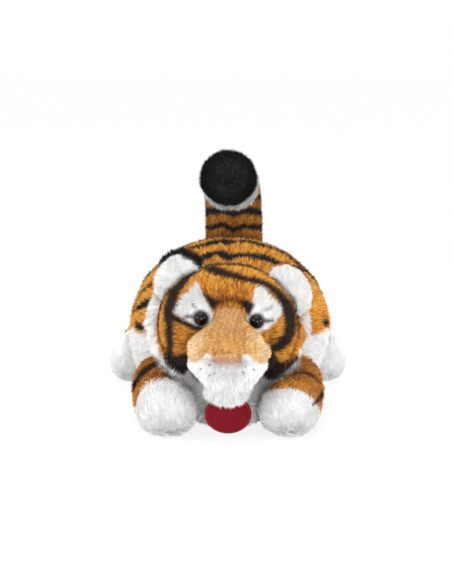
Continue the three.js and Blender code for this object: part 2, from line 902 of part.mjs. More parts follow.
// Tag
function tagPieces() {
  const middle = tagFloorGap + tagHalfHeight;
  const front = alongBody(0) - tagForward;
  const outline = new THREE.Shape();
  outline.absellipse(0, 0, tagHalfWidth - tagBevel, tagHalfHeight - tagBevel, 0, 2 * Math.PI);
  const patch = new THREE.ExtrudeGeometry(outline, {
    depth: tagThick - 2 * tagBevel,
    bevelThickness: tagBevel,
    bevelSize: tagBevel,
    bevelSegments: 1,
    curveSegments: tagCurveSteps,
  });
  patch.translate(0, 0, tagBevel - tagThick / 2);
  patch.rotateX(Math.PI / 2);
  patch.translate(0, front, middle);
  const foot = tagFloorGap + 2 * tagHalfHeight + seamGap;
  const top = foot + tapeRise;
  const run = tapeRunShare * tagForward;
  const fall = tapeFallShare * run;
  const strip = new THREE.Shape();
  strip.moveTo(front - tapeThick / 2, foot);
  strip.lineTo(front + tapeThick / 2, foot);
  strip.lineTo(front + tapeThick / 2, top - tapeThick);
  strip.lineTo(front + run, top - tapeThick - fall);
  strip.lineTo(front + run, top - fall);
  strip.lineTo(front - tapeThick / 2, top);
  strip.closePath();
  const tape = new THREE.ExtrudeGeometry(strip, { depth: tapeWidth, bevelEnabled: false });
  tape.translate(0, 0, -tapeWidth / 2);
  const basis = new THREE.Matrix4().makeBasis(new THREE.Vector3(0, 1, 0), up, across);
  tape.applyMatrix4(basis);
  return [
    place(solidOf(patch), 'tag', tagRed, ribbed),
    place(cut(solidOf(tape), padded(bodyForm, seamGap)), 'tag_ribbon', tagRed, ribbed),
  ];
}

const tiger = new THREE.Group();
tiger.add(...bodyPieces());
tiger.add(neckGusset());
tiger.add(...headPieces());
tiger.add(...eyePieces());
tiger.add(...facePieces());
tiger.add(...ruffPieces());
tiger.add(...earPieces());
tiger.add(...legPieces(foreleg));
tiger.add(...legPieces(hindLeg));
tiger.add(...tailPieces());
tiger.add(...tagPieces());

// The origin is on the floor under the middle of the whole toy
const reach = new THREE.Box3().setFromObject(tiger);
tiger.position.set(-(reach.min.x + reach.max.x) / 2, -(reach.min.y + reach.max.y) / 2, -reach.min.z);

export default tiger;
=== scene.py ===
import json
import math

import bmesh
import bpy
import numpy as np
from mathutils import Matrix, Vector
from mathutils.bvhtree import BVHTree

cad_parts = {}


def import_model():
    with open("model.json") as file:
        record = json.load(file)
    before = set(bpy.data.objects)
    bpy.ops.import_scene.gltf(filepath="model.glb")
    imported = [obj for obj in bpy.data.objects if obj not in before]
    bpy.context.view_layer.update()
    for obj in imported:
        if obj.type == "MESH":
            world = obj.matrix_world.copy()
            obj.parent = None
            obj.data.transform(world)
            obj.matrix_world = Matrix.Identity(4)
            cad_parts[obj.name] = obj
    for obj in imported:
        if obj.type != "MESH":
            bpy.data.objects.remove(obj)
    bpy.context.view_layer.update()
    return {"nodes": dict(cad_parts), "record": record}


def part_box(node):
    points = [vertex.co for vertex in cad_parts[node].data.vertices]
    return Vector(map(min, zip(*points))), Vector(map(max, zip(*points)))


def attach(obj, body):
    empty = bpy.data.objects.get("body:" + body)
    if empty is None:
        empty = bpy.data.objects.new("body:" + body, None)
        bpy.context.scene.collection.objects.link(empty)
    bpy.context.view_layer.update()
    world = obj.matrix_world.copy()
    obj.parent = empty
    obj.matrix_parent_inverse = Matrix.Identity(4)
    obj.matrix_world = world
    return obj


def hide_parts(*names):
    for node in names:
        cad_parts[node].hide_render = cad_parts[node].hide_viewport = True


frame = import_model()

MM = 0.001
MERGE = 0.02
FAR = 1e6
nodes = frame["nodes"]


# Small helpers

def mode(name):
    bpy.ops.object.mode_set(mode=name)


def link(piece):
    bpy.context.scene.collection.objects.link(piece)


def select_nothing():
    if bpy.context.object and bpy.context.object.mode != "OBJECT":
        mode("OBJECT")
    bpy.ops.object.select_all(action="DESELECT")


def alone(*pieces):
    """Selects these pieces and nothing else; the first is the active one."""
    select_nothing()
    for piece in pieces:
        piece.select_set(True)
    bpy.context.view_layer.objects.active = pieces[0]


def apply_modifier(piece, kind, **settings):
    alone(piece)
    modifier = piece.modifiers.new(kind.title(), kind)
    for name, value in settings.items():
        setattr(modifier, name, value)
    bpy.ops.object.modifier_apply(modifier=modifier.name)


def settle(piece):
    """Puts a piece's place into its mesh."""
    alone(piece)
    bpy.ops.object.transform_apply(location=True, rotation=True, scale=True)


def smooth_by_angle(piece, degrees):
    alone(piece)
    bpy.ops.object.shade_smooth_by_angle(angle=math.radians(degrees))


def round_edges(piece, width, segments):
    apply_modifier(piece, "BEVEL", width=width * MM, segments=segments, limit_method="ANGLE",
                   angle_limit=math.radians(40))


def copy_of(piece):
    twin = piece.copy()
    twin.data = piece.data.copy()
    link(twin)
    return twin


def corners(mesh, what="co"):
    """A row for each point of a mesh: its place, or its normal."""
    out = np.empty(len(mesh.vertices) * 3)
    mesh.vertices.foreach_get(what, out)
    return out.reshape(-1, 3)


def size_of(rows):
    return np.linalg.norm(rows, axis=1)


def unit(rows):
    return rows / np.maximum(size_of(rows), 1e-9)[:, None]


def held(value):
    """The value, kept between 0 and 1."""
    return np.clip(value, 0, 1)


def set_corners(mesh, spots):
    mesh.vertices.foreach_set("co", spots.ravel())
    mesh.update()


def record(mesh, name, *values):
    """Keeps a number on each point, for a material to use."""
    mesh.attributes.new(name, "FLOAT", "POINT").data.foreach_set(
        "value", np.concatenate(values).astype(np.float32))


def joined_copy(names, new_name):
    """One mesh of copies of these CAD nodes, with their loose triangles merged."""
    made = [copy_of(nodes[name]) for name in names]
    for twin in made:
        twin.parent = None
        twin.matrix_world.identity()
        twin.data.materials.clear()
    alone(*made)
    if len(made) > 1:
        bpy.ops.object.join()
    piece = made[0]
    piece.name = piece.data.name = new_name
    mode("EDIT")
    bpy.ops.mesh.select_all(action="SELECT")
    bpy.ops.mesh.remove_doubles(threshold=MERGE * MM)
    mode("OBJECT")
    return piece


def keep_largest(piece):
    """Removes the inner pockets that a remesh leaves, and keeps the outer skin."""
    shell = bmesh.new()
    shell.from_mesh(piece.data)
    shell.verts.ensure_lookup_table()
    seen, islands = set(), []
    for start in shell.verts:
        if start.index in seen:
            continue
        stack, island = [start], []
        seen.add(start.index)
        while stack:
            vert = stack.pop()
            island.append(vert)
            for edge in vert.link_edges:
                other = edge.other_vert(vert)
                if other.index not in seen:
                    seen.add(other.index)
                    stack.append(other)
        islands.append(island)
    islands.sort(key=len)
    for island in islands[:-1]:
        bmesh.ops.delete(shell, geom=island, context="VERTS")
    shell.to_mesh(piece.data)
    shell.free()


CLOTH_FRAMES = 20
CLOTH = {"use_pressure": True, "uniform_pressure_force": 4, "quality": 4, "mass": 0.25,
         "tension_stiffness": 18, "compression_stiffness": 18, "bending_stiffness": 0.6}


def swell(piece, most):
    """Blows the sewn cover up like a stuffed one, and caps how far it moves."""
    before = corners(piece.data)
    alone(piece)
    cloth = piece.modifiers.new("Stuffing", "CLOTH")
    for name, value in CLOTH.items():
        setattr(cloth.settings, name, value)
    cloth.settings.effector_weights.gravity = 0
    cloth.point_cache.frame_start = 1
    cloth.point_cache.frame_end = CLOTH_FRAMES
    for step in range(CLOTH_FRAMES):
        bpy.context.scene.frame_set(step + 1)
    bpy.ops.object.modifier_apply(modifier=cloth.name)
    bpy.context.scene.frame_set(1)
    move = corners(piece.data) - before
    share = np.minimum(1, most / np.maximum(size_of(move), 1e-9))
    set_corners(piece.data, before + move * share[:, None])


# The photograph's camera: its middle and scale in pixels, its pitch, and its distance, what it aims at
# and where it stands in millimetres. Lines and patches are painted in its pixels.

PHOTO_CENTRE = (228, 335.8)
PHOTO_SCALE = 1456
PHOTO_PITCH = math.radians(12)
PHOTO_REACH = 1400
PHOTO_AIM = np.array([0, -96.396, 90])
EYE_POINT = np.array([-2.0, -1465.8, 381.1])


def in_photo(place):
    """The photograph's pixels for places at rest."""
    x, y, z = (place - PHOTO_AIM).T
    depth = PHOTO_REACH + y * math.cos(PHOTO_PITCH) - z * math.sin(PHOTO_PITCH)
    up = y * math.sin(PHOTO_PITCH) + z * math.cos(PHOTO_PITCH)
    return np.stack([PHOTO_CENTRE[0] + PHOTO_SCALE * x / depth,
                     PHOTO_CENTRE[1] - PHOTO_SCALE * up / depth], 1)


def segment(at, a, b):
    """How far each point is from a line's segment, and how far along it the nearest place is."""
    a, run = np.array(a, float), np.subtract(b, a).astype(float)
    share = held(((at - a) @ run) / (run @ run))
    return size_of(at - a - share[:, None] * run), share


def line(at, points, widths):
    """Distance outside a painted line, negative inside it. Widths are half widths."""
    if not isinstance(widths, (list, tuple)):
        widths = [widths] * len(points)
    best = np.full(len(at), FAR)
    for a, b, wide_a, wide_b in zip(points, points[1:], widths, widths[1:]):
        away, share = segment(at, a, b)
        best = np.minimum(best, away - wide_a - (wide_b - wide_a) * share)
    return best


def lines(at, table):
    """Distance outside the nearest of several lines, each with its half widths."""
    return np.minimum.reduce([line(at, points, widths) for points, widths in table])


def bands(run, table):
    """Distance outside rings round a limb: where each lies along it, and its half width."""
    return np.minimum.reduce([np.abs(run - middle) - half for middle, half in table])


def patch(at, points):
    """Distance outside a closed outline, negative inside it."""
    best, inside = np.full(len(at), FAR), np.zeros(len(at), bool)
    for a, b in zip(points, points[1:] + points[:1]):
        best = np.minimum(best, segment(at, a, b)[0])
        if a[1] != b[1]:
            crosses = (a[1] > at[:, 1]) != (b[1] > at[:, 1])
            edge = a[0] + (at[:, 1] - a[1]) * (b[0] - a[0]) / (b[1] - a[1])
            inside ^= crosses & (at[:, 0] < edge)
    return np.where(inside, -best, best)


def soft(gap, blur):
    """1 inside an edge and 0 outside it, with a blur on both sides."""
    return held(0.5 - gap / (2 * blur))


def waves(place, scale, seed):
    """A smooth wander from -1 to 1 over the surface, about scale millimetres from crest to crest."""
    draw = np.random.default_rng(seed)
    total = np.zeros(len(place))
    for _ in range(5):
        way = draw.normal(size=3)
        way *= 2 * math.pi / scale / np.linalg.norm(way) * draw.uniform(0.7, 1.4)
        total += np.sin(place @ way + draw.uniform(0, 6.28))
    return total / 3


# The dyes of the pile: black, white, tan, pink, brown; orange is what is left

BLACK, WHITE, TAN, PINK, BROWN = range(5)
DYES = ["black", "white", "tan", "pink", "brown"]


def plain(place, dye=None):
    """A coat of one dye, or orange where none is given."""
    dyes = np.zeros((len(place), len(DYES)))
    if dye is not None:
        dyes[:, dye] = 1
    return dyes


def lay(dyes, dye, mask):
    """Covers what is there with a dye, or with orange where none is given, as the mask says."""
    dyes *= 1 - mask[:, None]
    if dye is not None:
        dyes[:, dye] += mask
    return dyes


def dab(dyes, dye, at, outline, blur, share=1):
    """Lays a dye inside an outline."""
    return lay(dyes, dye, share * soft(patch(at, outline), blur))


def stroke(dyes, dye, at, points, widths, blur, share=1):
    """Lays a dye along a line."""
    return lay(dyes, dye, share * soft(line(at, points, widths), blur))


def facing(place, normal):
    """How squarely the surface faces the photograph's eye, from -1 to 1."""
    return np.einsum("ij,ij->i", unit(EYE_POINT - place), normal)


# Stripes of the back: degrees round the body from its centre seam and millimetres along it, and the
# half widths there. A degree counts as so many millimetres.
DEGREE = 1.45
BACK_STRIPES = [
    ([(-50, -62), (-24, -68), (0, -64), (26, -68), (52, -60)], [0.5, 4, 4, 4, 0.5]),
    ([(-70, -8), (-50, -26), (-26, -32), (-6, -24), (0, -32), (8, -24), (28, -32), (52, -24),
      (72, -6)], [0.5, 4, 4.5, 4, 3.5, 4, 4.5, 4, 0.5]),
    ([(-77, 48), (-67, 24), (-57, 8), (-40, 2), (-20, 4), (-4, 16), (0, 4), (6, 14), (22, 6),
      (38, 2), (50, 4)], [1, 4, 4, 4, 4.5, 4, 3.5, 4, 4.5, 4, 0.5]),
    ([(-84, 70), (-66, 52), (-45, 40), (-23, 38), (-16, 44), (-6, 54), (0, 41), (8, 47), (16, 48),
      (26, 51), (38, 46), (48, 45)], [0.5, 4, 5.5, 6.5, 7, 6, 5, 6, 7, 7, 6, 0.5]),
    ([(-96, 104), (-74, 92), (-50, 84), (-28, 82), (-14, 79), (-3, 92), (0, 80), (5, 88), (17, 86),
      (30, 90), (46, 80), (60, 82), (78, 92), (98, 108)],
     [0.5, 4.5, 6.5, 7, 7, 6, 5.5, 6, 7, 7.5, 7.5, 6.5, 5, 0.5]),
    ([(-88, 132), (-60, 120), (-34, 112), (-16, 112), (-4, 124), (0, 114), (6, 122), (20, 116),
      (40, 116), (66, 124), (90, 138)], [0.5, 4.5, 6, 6.5, 5.5, 5, 5.5, 6.5, 6.5, 4.5, 0.5]),
    ([(-104, 158), (-76, 148), (-48, 141), (-26, 140)], [0.5, 4.5, 5, 0.5]),
    ([(24, 142), (48, 143), (76, 150), (104, 160)], [0.5, 5, 4.5, 0.5]),
    ([(-79, 22), (-79, 4), (-77, -12)], [1, 3, 1]),
    ([(80, 34), (79, 16)], [3, 1.5]),
]
# Stripes of the rump, alike on both sides: millimetres across and up, and the half widths there
RUMP_STRIPES = [
    ([(20, 138), (44, 130), (68, 106), (76, 86)], [0.5, 4, 4, 0.5]),
    ([(14, 110), (36, 104), (54, 84), (58, 68)], [0.5, 4, 4, 0.5]),
    ([(16, 84), (32, 74), (42, 56)], [0.5, 3.5, 0.5]),
]
RUMP_FROM = 140
# Where the chest is white, in pixels
CHEST = [[(150, 350), (206, 362), (208, 388), (203, 399), (197, 398), (186, 388), (172, 377),
          (160, 368)],
         [(250, 370), (302, 350), (301, 365), (284, 377), (267, 390), (256, 399), (250, 392)]]


def white_chest(dyes, place):
    """The white of the ruff carries on over the chest and the inner ends of the forelegs."""
    for outline in CHEST:
        dab(dyes, WHITE, in_photo(place), outline, 2)
    return dyes


def paint_body(place, normal):
    x, y, z = place.T
    dyes = plain(place)
    lay(dyes, BROWN, 0.6 * held(1 - np.abs(x) / 5))
    lay(dyes, BROWN, 0.25 * held(waves(place, 46, 4) - 0.2))
    wobble = np.stack([waves(place, 24, 3), waves(place, 24, 13)], 1)
    around = np.stack([np.degrees(np.arctan2(x, z - 60)) * DEGREE, y], 1) + wobble
    stripes = lines(around, [([(turn * DEGREE, run) for turn, run in points], widths)
                             for points, widths in BACK_STRIPES])
    behind = np.stack([np.abs(x) + 3 * (x > 0), z], 1) + wobble
    rump = np.where(y > RUMP_FROM, lines(behind, RUMP_STRIPES), FAR)
    lay(dyes, BLACK, soft(np.minimum(stripes, rump) - 0.7, 1.3))
    # The pale underside comes up the flanks to the height of the legs
    edge = 73 - 0.28 * np.clip(y - 20, 0, 150) - 0.1 * np.clip(-20 - y, 0, 80)
    pale = soft(z - edge + 1.5 * waves(place, 18, 9), 2)
    lay(dyes, WHITE, pale)
    # A little black over the pale underside: painted shade on the white flanks
    lay(dyes, BLACK, 0.09 * pale)
    return white_chest(dyes, place)


# The eyes' middles, the dark rim round each and the ring that stays bare of pile
EYES = {"left": np.array([26.55, -143.0, 113.65]), "right": np.array([-25.4, -143.0, 116.35])}
EYE_RIM = 7.4
EYE_BARE = 6.6
HEAD_SEAM = -99
# Stripes over the back of the head: degrees up from its middle, half width, and half length
NAPE_STRIPES = [(81, 7, 44), (52, 5.5, 58), (26, 5.5, 52), (0, 5, 48)]


def from_eyes(place):
    """The distance from the middle of the nearer eye, seen from in front."""
    return np.minimum.reduce([size_of((place - eye)[:, [0, 2]]) for eye in EYES.values()])


# The head's markings, in pixels: white round the eyes with a share of black in it as painted shade,
# more round the left eye, dark lines and patches
EYE_PATCHES = [
    ([(196, 281), (201, 289), (206, 298), (211, 307), (214, 318), (212, 328), (205, 333), (198, 328),
      (192, 327), (185, 322), (178, 316), (172, 312), (176, 303), (183, 295), (190, 289)], 0.21),
    ([(260, 280), (266, 288), (272, 297), (280, 303), (284, 308), (282, 314), (276, 322), (268, 329),
      (258, 333), (248, 330), (246, 318), (250, 310), (252, 300), (255, 290)], 0.09),
]
HEAD_LINES = [
    ([(201, 266), (191, 272), (183, 280), (175, 290), (171, 301), (168.5, 311), (168.5, 325),
      (169.5, 340), (170, 350), (170, 358)], [3.6, 4.4, 5, 5.4, 5.6, 5.2, 4.2, 3.6, 3.4, 4]),
    ([(198, 262), (208, 267), (221, 272), (238, 277), (257, 281), (268, 285), (277, 292), (286, 303),
      (290, 315), (291, 327), (288, 338), (280, 346), (270, 350)],
     [3, 5, 4.4, 3.6, 3.4, 3.2, 4, 5.6, 6.4, 6, 5.6, 5, 4.4]),
    ([(199, 263), (206, 266), (214, 268)], [3, 4.2, 2.6]),
    ([(170, 316), (176, 319), (184, 323), (191, 326.5)], [3, 2.8, 2.4, 2]),
    ([(185, 316.8), (191, 316.6), (197, 317)], [1, 1.8, 2.6]),
    ([(260, 320), (268, 321), (272, 320)], [2.6, 1.8, 1]),
]
HEAD_PATCHES = [
    [(203, 292), (208, 295), (214, 299), (220, 302), (217, 306), (212, 311), (207, 302)],
    [(238, 300), (246, 300), (254, 304), (252, 311), (249, 317), (244, 309)],
    [(160, 356), (170, 357), (186, 352), (191, 360), (196, 375), (180, 377), (168, 372), (161, 365)],
    [(268, 350), (276, 347), (275, 353), (279, 360), (284, 365), (290, 360), (299, 355), (300, 364),
     (294, 376), (284, 381), (268, 381), (259, 376), (263, 366)],
    [(187, 321), (196, 325), (206, 327), (204, 331), (195, 331), (188, 328), (182, 324)],
]


def paint_head(place, normal):
    at = in_photo(place)
    dyes = plain(place)
    # Deeper orange in the middle of the forehead and low on the cheeks
    dab(dyes, BROWN, at, [(205, 290), (240, 286), (252, 300), (228, 303), (208, 300)], 6, 0.45)
    dab(dyes, BROWN, at, [(172, 335), (190, 335), (188, 350), (172, 350)], 5, 0.35)
    # Each white patch round an eye gets its share of black: painted shade
    for outline, painted_shade in EYE_PATCHES:
        dab(dyes, WHITE, at, outline, 1.6)
        dab(dyes, BLACK, at, outline, 3, painted_shade)
    stroke(dyes, BLACK, at, [(192.5, 303.5), (195.5, 308)], 1.6, 2, 0.6)
    stroke(dyes, BLACK, at, [(262, 311), (267, 309), (272, 307.5)], 1.2, 2, 0.6)
    # Dark brow over the bridge of the nose
    stroke(dyes, BROWN, at,
           [(204, 294), (212, 300), (221, 299), (230, 297.5), (240, 299.5), (251, 304)],
           [2.4, 3.6, 3.4, 3.2, 3.4, 2.4], 2.2, 0.95)
    stroke(dyes, BLACK, at,
           [(208, 300), (216, 302.5), (222, 301.5), (230, 300), (238, 301.5), (246, 305)],
           [1.6, 2, 1.6, 1.3, 1.8, 2.2], 1.6, 0.75)
    gaps = [lines(at, HEAD_LINES), from_eyes(place) - EYE_RIM]
    marks = soft(np.minimum.reduce(gaps + [patch(at, outline) for outline in HEAD_PATCHES]), 1.7)
    lay(dyes, BLACK, marks)
    lay(dyes, BROWN, 0.05 * marks)
    # Black pile that curls over the orange of the right cheek
    stroke(dyes, BLACK, at, [(268, 342), (276, 339), (284, 337)], [1.4, 1.6, 2], 1.4, 0.7)
    # The back of the head has stripes of its own
    x, y, z = place.T
    turn = np.degrees(np.arctan2(z - 105, y - HEAD_SEAM)) + 4 * waves(place, 50, 8) * (y > -80)
    rings = np.minimum.reduce([np.abs(turn - middle) - half * held((reach - np.abs(x - 2)) / 20)
                               for middle, half, reach in NAPE_STRIPES])
    back = lay(plain(place), BLACK, 0.9 * soft(rings, 1.6))
    return np.where((y > HEAD_SEAM)[:, None], back, dyes)


# The head's outline inside the ruffs, in pixels
HEAD_EDGE = [(200, 262), (186, 268), (172, 280), (163, 295), (158, 312), (155.5, 328), (156, 342),
             (160, 354), (166, 365), (178, 374), (196, 376), (262, 381), (283, 381), (293, 376),
             (301, 366), (305, 353), (307, 342), (306, 332), (303, 321), (298, 310), (292, 299),
             (286, 287), (278, 276), (266, 266), (250, 260)]


def paint_ruff(place, normal):
    """White outside the head's edge, and the face's own markings inside it."""
    at = in_photo(place)
    tuft = soft(patch(at, [(299, 349), (308, 349), (307, 358), (299, 360)]), 1)
    inside = soft(patch(at, HEAD_EDGE), 1.2) * (facing(place, normal) > -0.3) * (1 - tuft)
    inside = inside[:, None]
    face = paint_head(np.stack([place[:, 0], np.minimum(place[:, 1], -100), place[:, 2]], 1), normal)
    return inside * face + (1 - inside) * plain(place, WHITE)


# The whisker dots and the tan part's outline, in pixels
WHISKERS = [(208.4, 365.6), (200.5, 369.8), (209.5, 375), (214, 373), (245.6, 366.6),
            (254.6, 370.4), (243.4, 373.6)]
TAN_EDGE = [(176, 290), (280, 290), (275, 352), (269, 361), (261, 364), (254, 361), (249, 354),
            (243, 355), (240, 359), (228, 363), (214, 359), (211, 355), (206, 353), (202, 359),
            (195, 363), (187, 359), (180, 348)]
# Deeper brown and pink in the middle of the snout: dye, outline, blur and share
SNOUT_SHADES = [
    (BROWN, [(214, 300), (242, 300), (247, 322), (252, 334), (204, 334), (210, 320)], 5, 0.1),
    (BROWN, [(208, 334), (248, 334), (244, 357), (212, 357)], 6, 0.16),
    (PINK, [(216, 304), (240, 304), (246, 322), (242, 332), (214, 332), (211, 320)], 6, 0.2),
    (PINK, [(211, 355), (241, 355), (238, 364), (228, 368), (215, 364)], 2.5, 0.3),
]


def paint_snout(place, normal):
    at = in_photo(place)
    # The white is greyed a little all over, and more under the nose as painted shade
    shade_under_nose = soft(patch(at, [(207, 362), (248, 362), (244, 382), (210, 382)]), 4)
    dyes = lay(plain(place, WHITE), BLACK, 0.05 + 0.09 * shade_under_nose)
    dab(dyes, TAN, at, TAN_EDGE, 1.3)
    # The lobes are paler
    stroke(dyes, WHITE, at, [(199, 338), (192, 347), (194, 357)], 4, 6, 0.3)
    stroke(dyes, WHITE, at, [(257, 338), (265, 347), (261, 357)], 4, 6, 0.3)
    for dye, outline, blur, share in SNOUT_SHADES:
        dab(dyes, dye, at, outline, blur, share)
    for dot in WHISKERS:
        lay(dyes, BLACK, 0.62 * soft(size_of(at - dot) - 1.2, 0.8))
    smile = [(218, 379.5), (224, 377), (230, 375.5), (235, 375)]
    return stroke(dyes, BLACK, at, smile, 1.6, 2.5, 0.1)


def paint_nose(place, normal):
    """Tan along its upper edge and pale along its lower one: painted light and shade, as the light
    falls on it.
    """
    height = in_photo(place)[:, 1]
    # Painted light and shade on the pink: tan above, pale below
    dyes = lay(plain(place, PINK), TAN, 0.9 * held((361.5 - height) / 5))
    return lay(dyes, WHITE, 0.75 * held((height - 362) / 5))


# The stripes on the forelegs' front, in pixels
SLEEVE_LINES = [
    ([(131, 391), (136, 382), (142, 373), (151, 366), (160, 361), (168, 357)],
     [2.4, 2.6, 2.6, 2.6, 2.2, 1.5]),
    ([(146, 356), (152, 350), (158, 346)], [1, 2.4, 3]),
    ([(164, 374), (176, 382), (188, 390), (198, 399)], [1.2, 1.6, 1.6, 1.4]),
    ([(303, 344), (309, 352), (316, 360), (324, 371), (329, 382)], [3, 3.2, 2.6, 2.4, 2]),
    ([(292, 374), (304, 372), (314, 376), (320, 383)], [0.6, 1, 0.9, 0.5]),
    ([(314, 405), (320, 398), (326, 388)], [1.4, 2.2, 1.5]),
    ([(262, 396), (274, 386), (288, 378)], [1.2, 1.2, 0.8]),
]


def paint_sleeve(place, normal):
    x, y, z = place.T
    front = soft(lines(in_photo(place), SLEEVE_LINES), 1.1)
    rings = soft(bands(y + 0.3 * z + 2.5 * waves(place, 40, 5), [(-78, 3.6), (-48, 3.6)]), 1.2)
    dyes = lay(plain(place), BLACK, np.where(facing(place, normal) > -0.05, front, rings))
    return white_chest(dyes, place)


# What the left sleeve covers of its paw, in pixels
PAW_EDGE = [(248, 401), (262, 392.5), (275, 388.5), (290, 387.5), (304, 391.5), (314, 399),
            (320, 411), (336, 411), (336, 366), (248, 366)]


def paint_paw(place, normal):
    """White, greyed a little in front as painted shade, with the sleeve's orange and black over the
    left paw's top.
    """
    at, front = in_photo(place), place[:, 1] < -90
    left = (place[:, 0] > 20) & front
    # Painted shade: a little black over the front of the paws
    dyes = lay(plain(place, WHITE), BLACK, 0.05 * front)
    dab(dyes, None, at, PAW_EDGE, 1.2, left)
    return stroke(dyes, BLACK, at, [(313, 404), (320, 398), (327, 388)], [1.2, 2.2, 1.5], 1.1, left)


def paint_hind(place, normal):
    x, y, z = place.T
    run = y + 0.25 * z + 2.5 * waves(place, 40, 6)
    return lay(plain(place), BLACK, soft(bands(run, [(150, 3.6), (128, 3)]), 1.2))


# Rings of the tail: height and half width
TAIL_RINGS = [(110, 3), (126, 3.2), (143, 3), (160, 3), (177, 3.8), (193, 3.4), (208, 3), (224, 3)]


def paint_tail(place, normal):
    x, y, z = place.T
    side = np.abs(x - 6)
    dyes = lay(plain(place), BROWN, 0.5 * held(1 - side / 20) + 0.12)
    run = z - 0.5 * np.minimum(side, 13) + 0.3 * np.maximum(side - 13, 0) + 1.6 * waves(place, 34, 7)
    return lay(dyes, BLACK, soft(bands(run, TAIL_RINGS), 1.2))


EAR_ROOTS = {"left": np.array([56.0, -99.0, 133.8]), "right": np.array([-46.0, -99.0, 145.5])}
EAR_LENGTH = 34
# The long dark pile along the top of an ear and inside it, in pixels, and its half width
EAR_RIMS = {"right": ([(161, 257), (170, 251.5), (184, 253.5), (198, 262)], 7),
            "left": ([(260, 266), (270, 260), (282, 257.5), (294, 260), (304, 268)], 4.5)}
EAR_FRINGES = {"right": ([(185, 253), (194, 257), (203, 266)], 4.5),
               "left": ([(264, 262), (274, 260), (284, 261)], 2.2)}


def ear_share(place, side):
    """0 at an ear's sewn base and 1 at its rim."""
    return np.clip(size_of(place - EAR_ROOTS[side]) / EAR_LENGTH, 0, 1.3)


def ear_rim(place, side):
    return soft(line(in_photo(place), *EAR_RIMS[side]), 2)


def paint_ear_lining(side):
    def paint(place, normal):
        fringe = soft(line(in_photo(place), *EAR_FRINGES[side]), 1.6)
        # The share of black over all the lining is painted shade in the ear's hollow
        return lay(plain(place, WHITE), BLACK, np.maximum(fringe, 0.06))
    return paint


def paint_ear_back(side):
    return lambda place, normal: lay(plain(place), BLACK, ear_rim(place, side))


def paint_collar(place, normal):
    return white_chest(plain(place), place)


def all_over(dye, painted_shade=0):
    """A coat of one dye, with a share of black in it, painted shade where one is given."""
    return lambda place, normal: lay(plain(place, dye), BLACK, np.full(len(place), painted_shade))


# Which way the pile lies: vectors in the toy's own space, for places in millimetres

def ways(x, y, z):
    """A vector for each place, from arrays or single numbers."""
    return np.stack(np.broadcast_arrays(x, y, z), 1).astype(float)


def steady(x, y, z):
    return lambda place: np.tile([x, y, z], (len(place), 1)).astype(float)


def back_comb(place):
    x, y, z = place.T
    return ways(0.004 * x, 1, -0.012 * np.maximum(130 - z, 0))


def face_comb(place):
    x, y, z = place.T
    out = ways(x, 0, z - 84)
    return out / np.maximum(size_of(out), 4)[:, None] + [0, 0.45, 0]


def lower_ruff(place):
    """0 on the upper ruff and 1 on its long lower pile."""
    return held((80 - place[:, 2]) / 22)


def ruff_comb(place):
    x, y, z = place.T
    low = lower_ruff(place)
    return unit(ways(x * (1 - 0.95 * low), -14 - 24 * low, z - 112)) + [0, 0, -0.55]


def ruff_length(place):
    inside = soft(patch(in_photo(place), HEAD_EDGE) + 2, 3)
    low = lower_ruff(place)
    return (10.5 + 11 * low) * (1 - inside) + (5.5 + 3 * low) * inside


def muzzle_comb(place):
    x, y, z = place.T
    low = held((76 - z) / 14)
    return unit(ways((x + 1) * (1 - 0.6 * low), 8, z - 90 - 26 * low))


def muzzle_length(place):
    return 4.5 + 3 * held((72 - place[:, 2]) / 10)


def chin_comb(place):
    return ways(0.006 * place[:, 0], -0.05, -1)


def bridge_comb(place):
    x, y, z = place.T
    return ways(0.05 * x, 0.15, 0.07 * (z - 98))


def bridge_length(place):
    x, y, z = place.T
    return 2.8 + 2.6 * held((np.abs(x) - 12) / 18) * held((112 - z) / 8)


def bridge_bright(place):
    """The lobes are paler than the middle of the snout."""
    x, y, z = place.T
    lobes = held((np.abs(x + 0.5) - 14) / 14) * held((114 - z) / 8)
    return 0.36 * lobes - 0.08 - 0.2 * held((z - 100) / 10)


def ring_comb(place):
    return place - [4, 150, 228]


def tuft_comb(place):
    return place - [2, 147, 219]


def tuft_length(place):
    return 9.5 - 5 * held((214 - place[:, 2]) / 14)


def ear_comb(side):
    return lambda place: place - EAR_ROOTS[side] + [0, -2, 0]


def ear_back_length(side):
    """Short pile, and long along the rim's dark part."""
    return lambda place: 3 + 4.5 * ear_rim(place, side) * held((ear_share(place, side) - 0.4) / 0.3)


def face_length(place):
    """Short beside the eyes, so that it frames them, and longer on the cheeks."""
    x, y, z = place.T
    cheek = held((np.abs(x) - 30) / 30) * held((105 - z) / 40)
    return np.clip((from_eyes(place) - 5) / 14, 0.28, 1) * (5.5 + 6 * cheek)


# Pile: every hair is a flat blade of a quad and a tip

def sample(mesh, per_mm, most, draw):
    """Places spread evenly by area over a mesh, with their smooth normals, in millimetres."""
    mesh.calc_loop_triangles()
    count = len(mesh.loop_triangles)
    tris = np.empty(count * 3, np.int32)
    mesh.loop_triangles.foreach_get("vertices", tris)
    tris = tris.reshape(-1, 3)
    spots, normals = corners(mesh) / MM, corners(mesh, "normal")
    a, b, c = (spots[tris[:, i]] for i in range(3))
    area = size_of(np.cross(b - a, c - a)) / 2
    number = int(min(most, area.sum() * per_mm))
    pick = draw.choice(count, number, p=area / area.sum())
    # Neighbours stay near each other in the list, and so in the atlas
    pick.sort()
    u, v = draw.random((2, number))
    over = u + v > 1
    u[over], v[over] = 1 - u[over], 1 - v[over]
    weights = np.stack([1 - u - v, u, v], 1)
    place, normal = (sum(weights[:, i, None] * rows[tris[pick, i]] for i in range(3))
                     for rows in (spots, normals))
    return place, unit(normal)


def at_place(measure, place):
    """A coat's measure is one number, or a function of the place."""
    return measure(place) if callable(measure) else measure


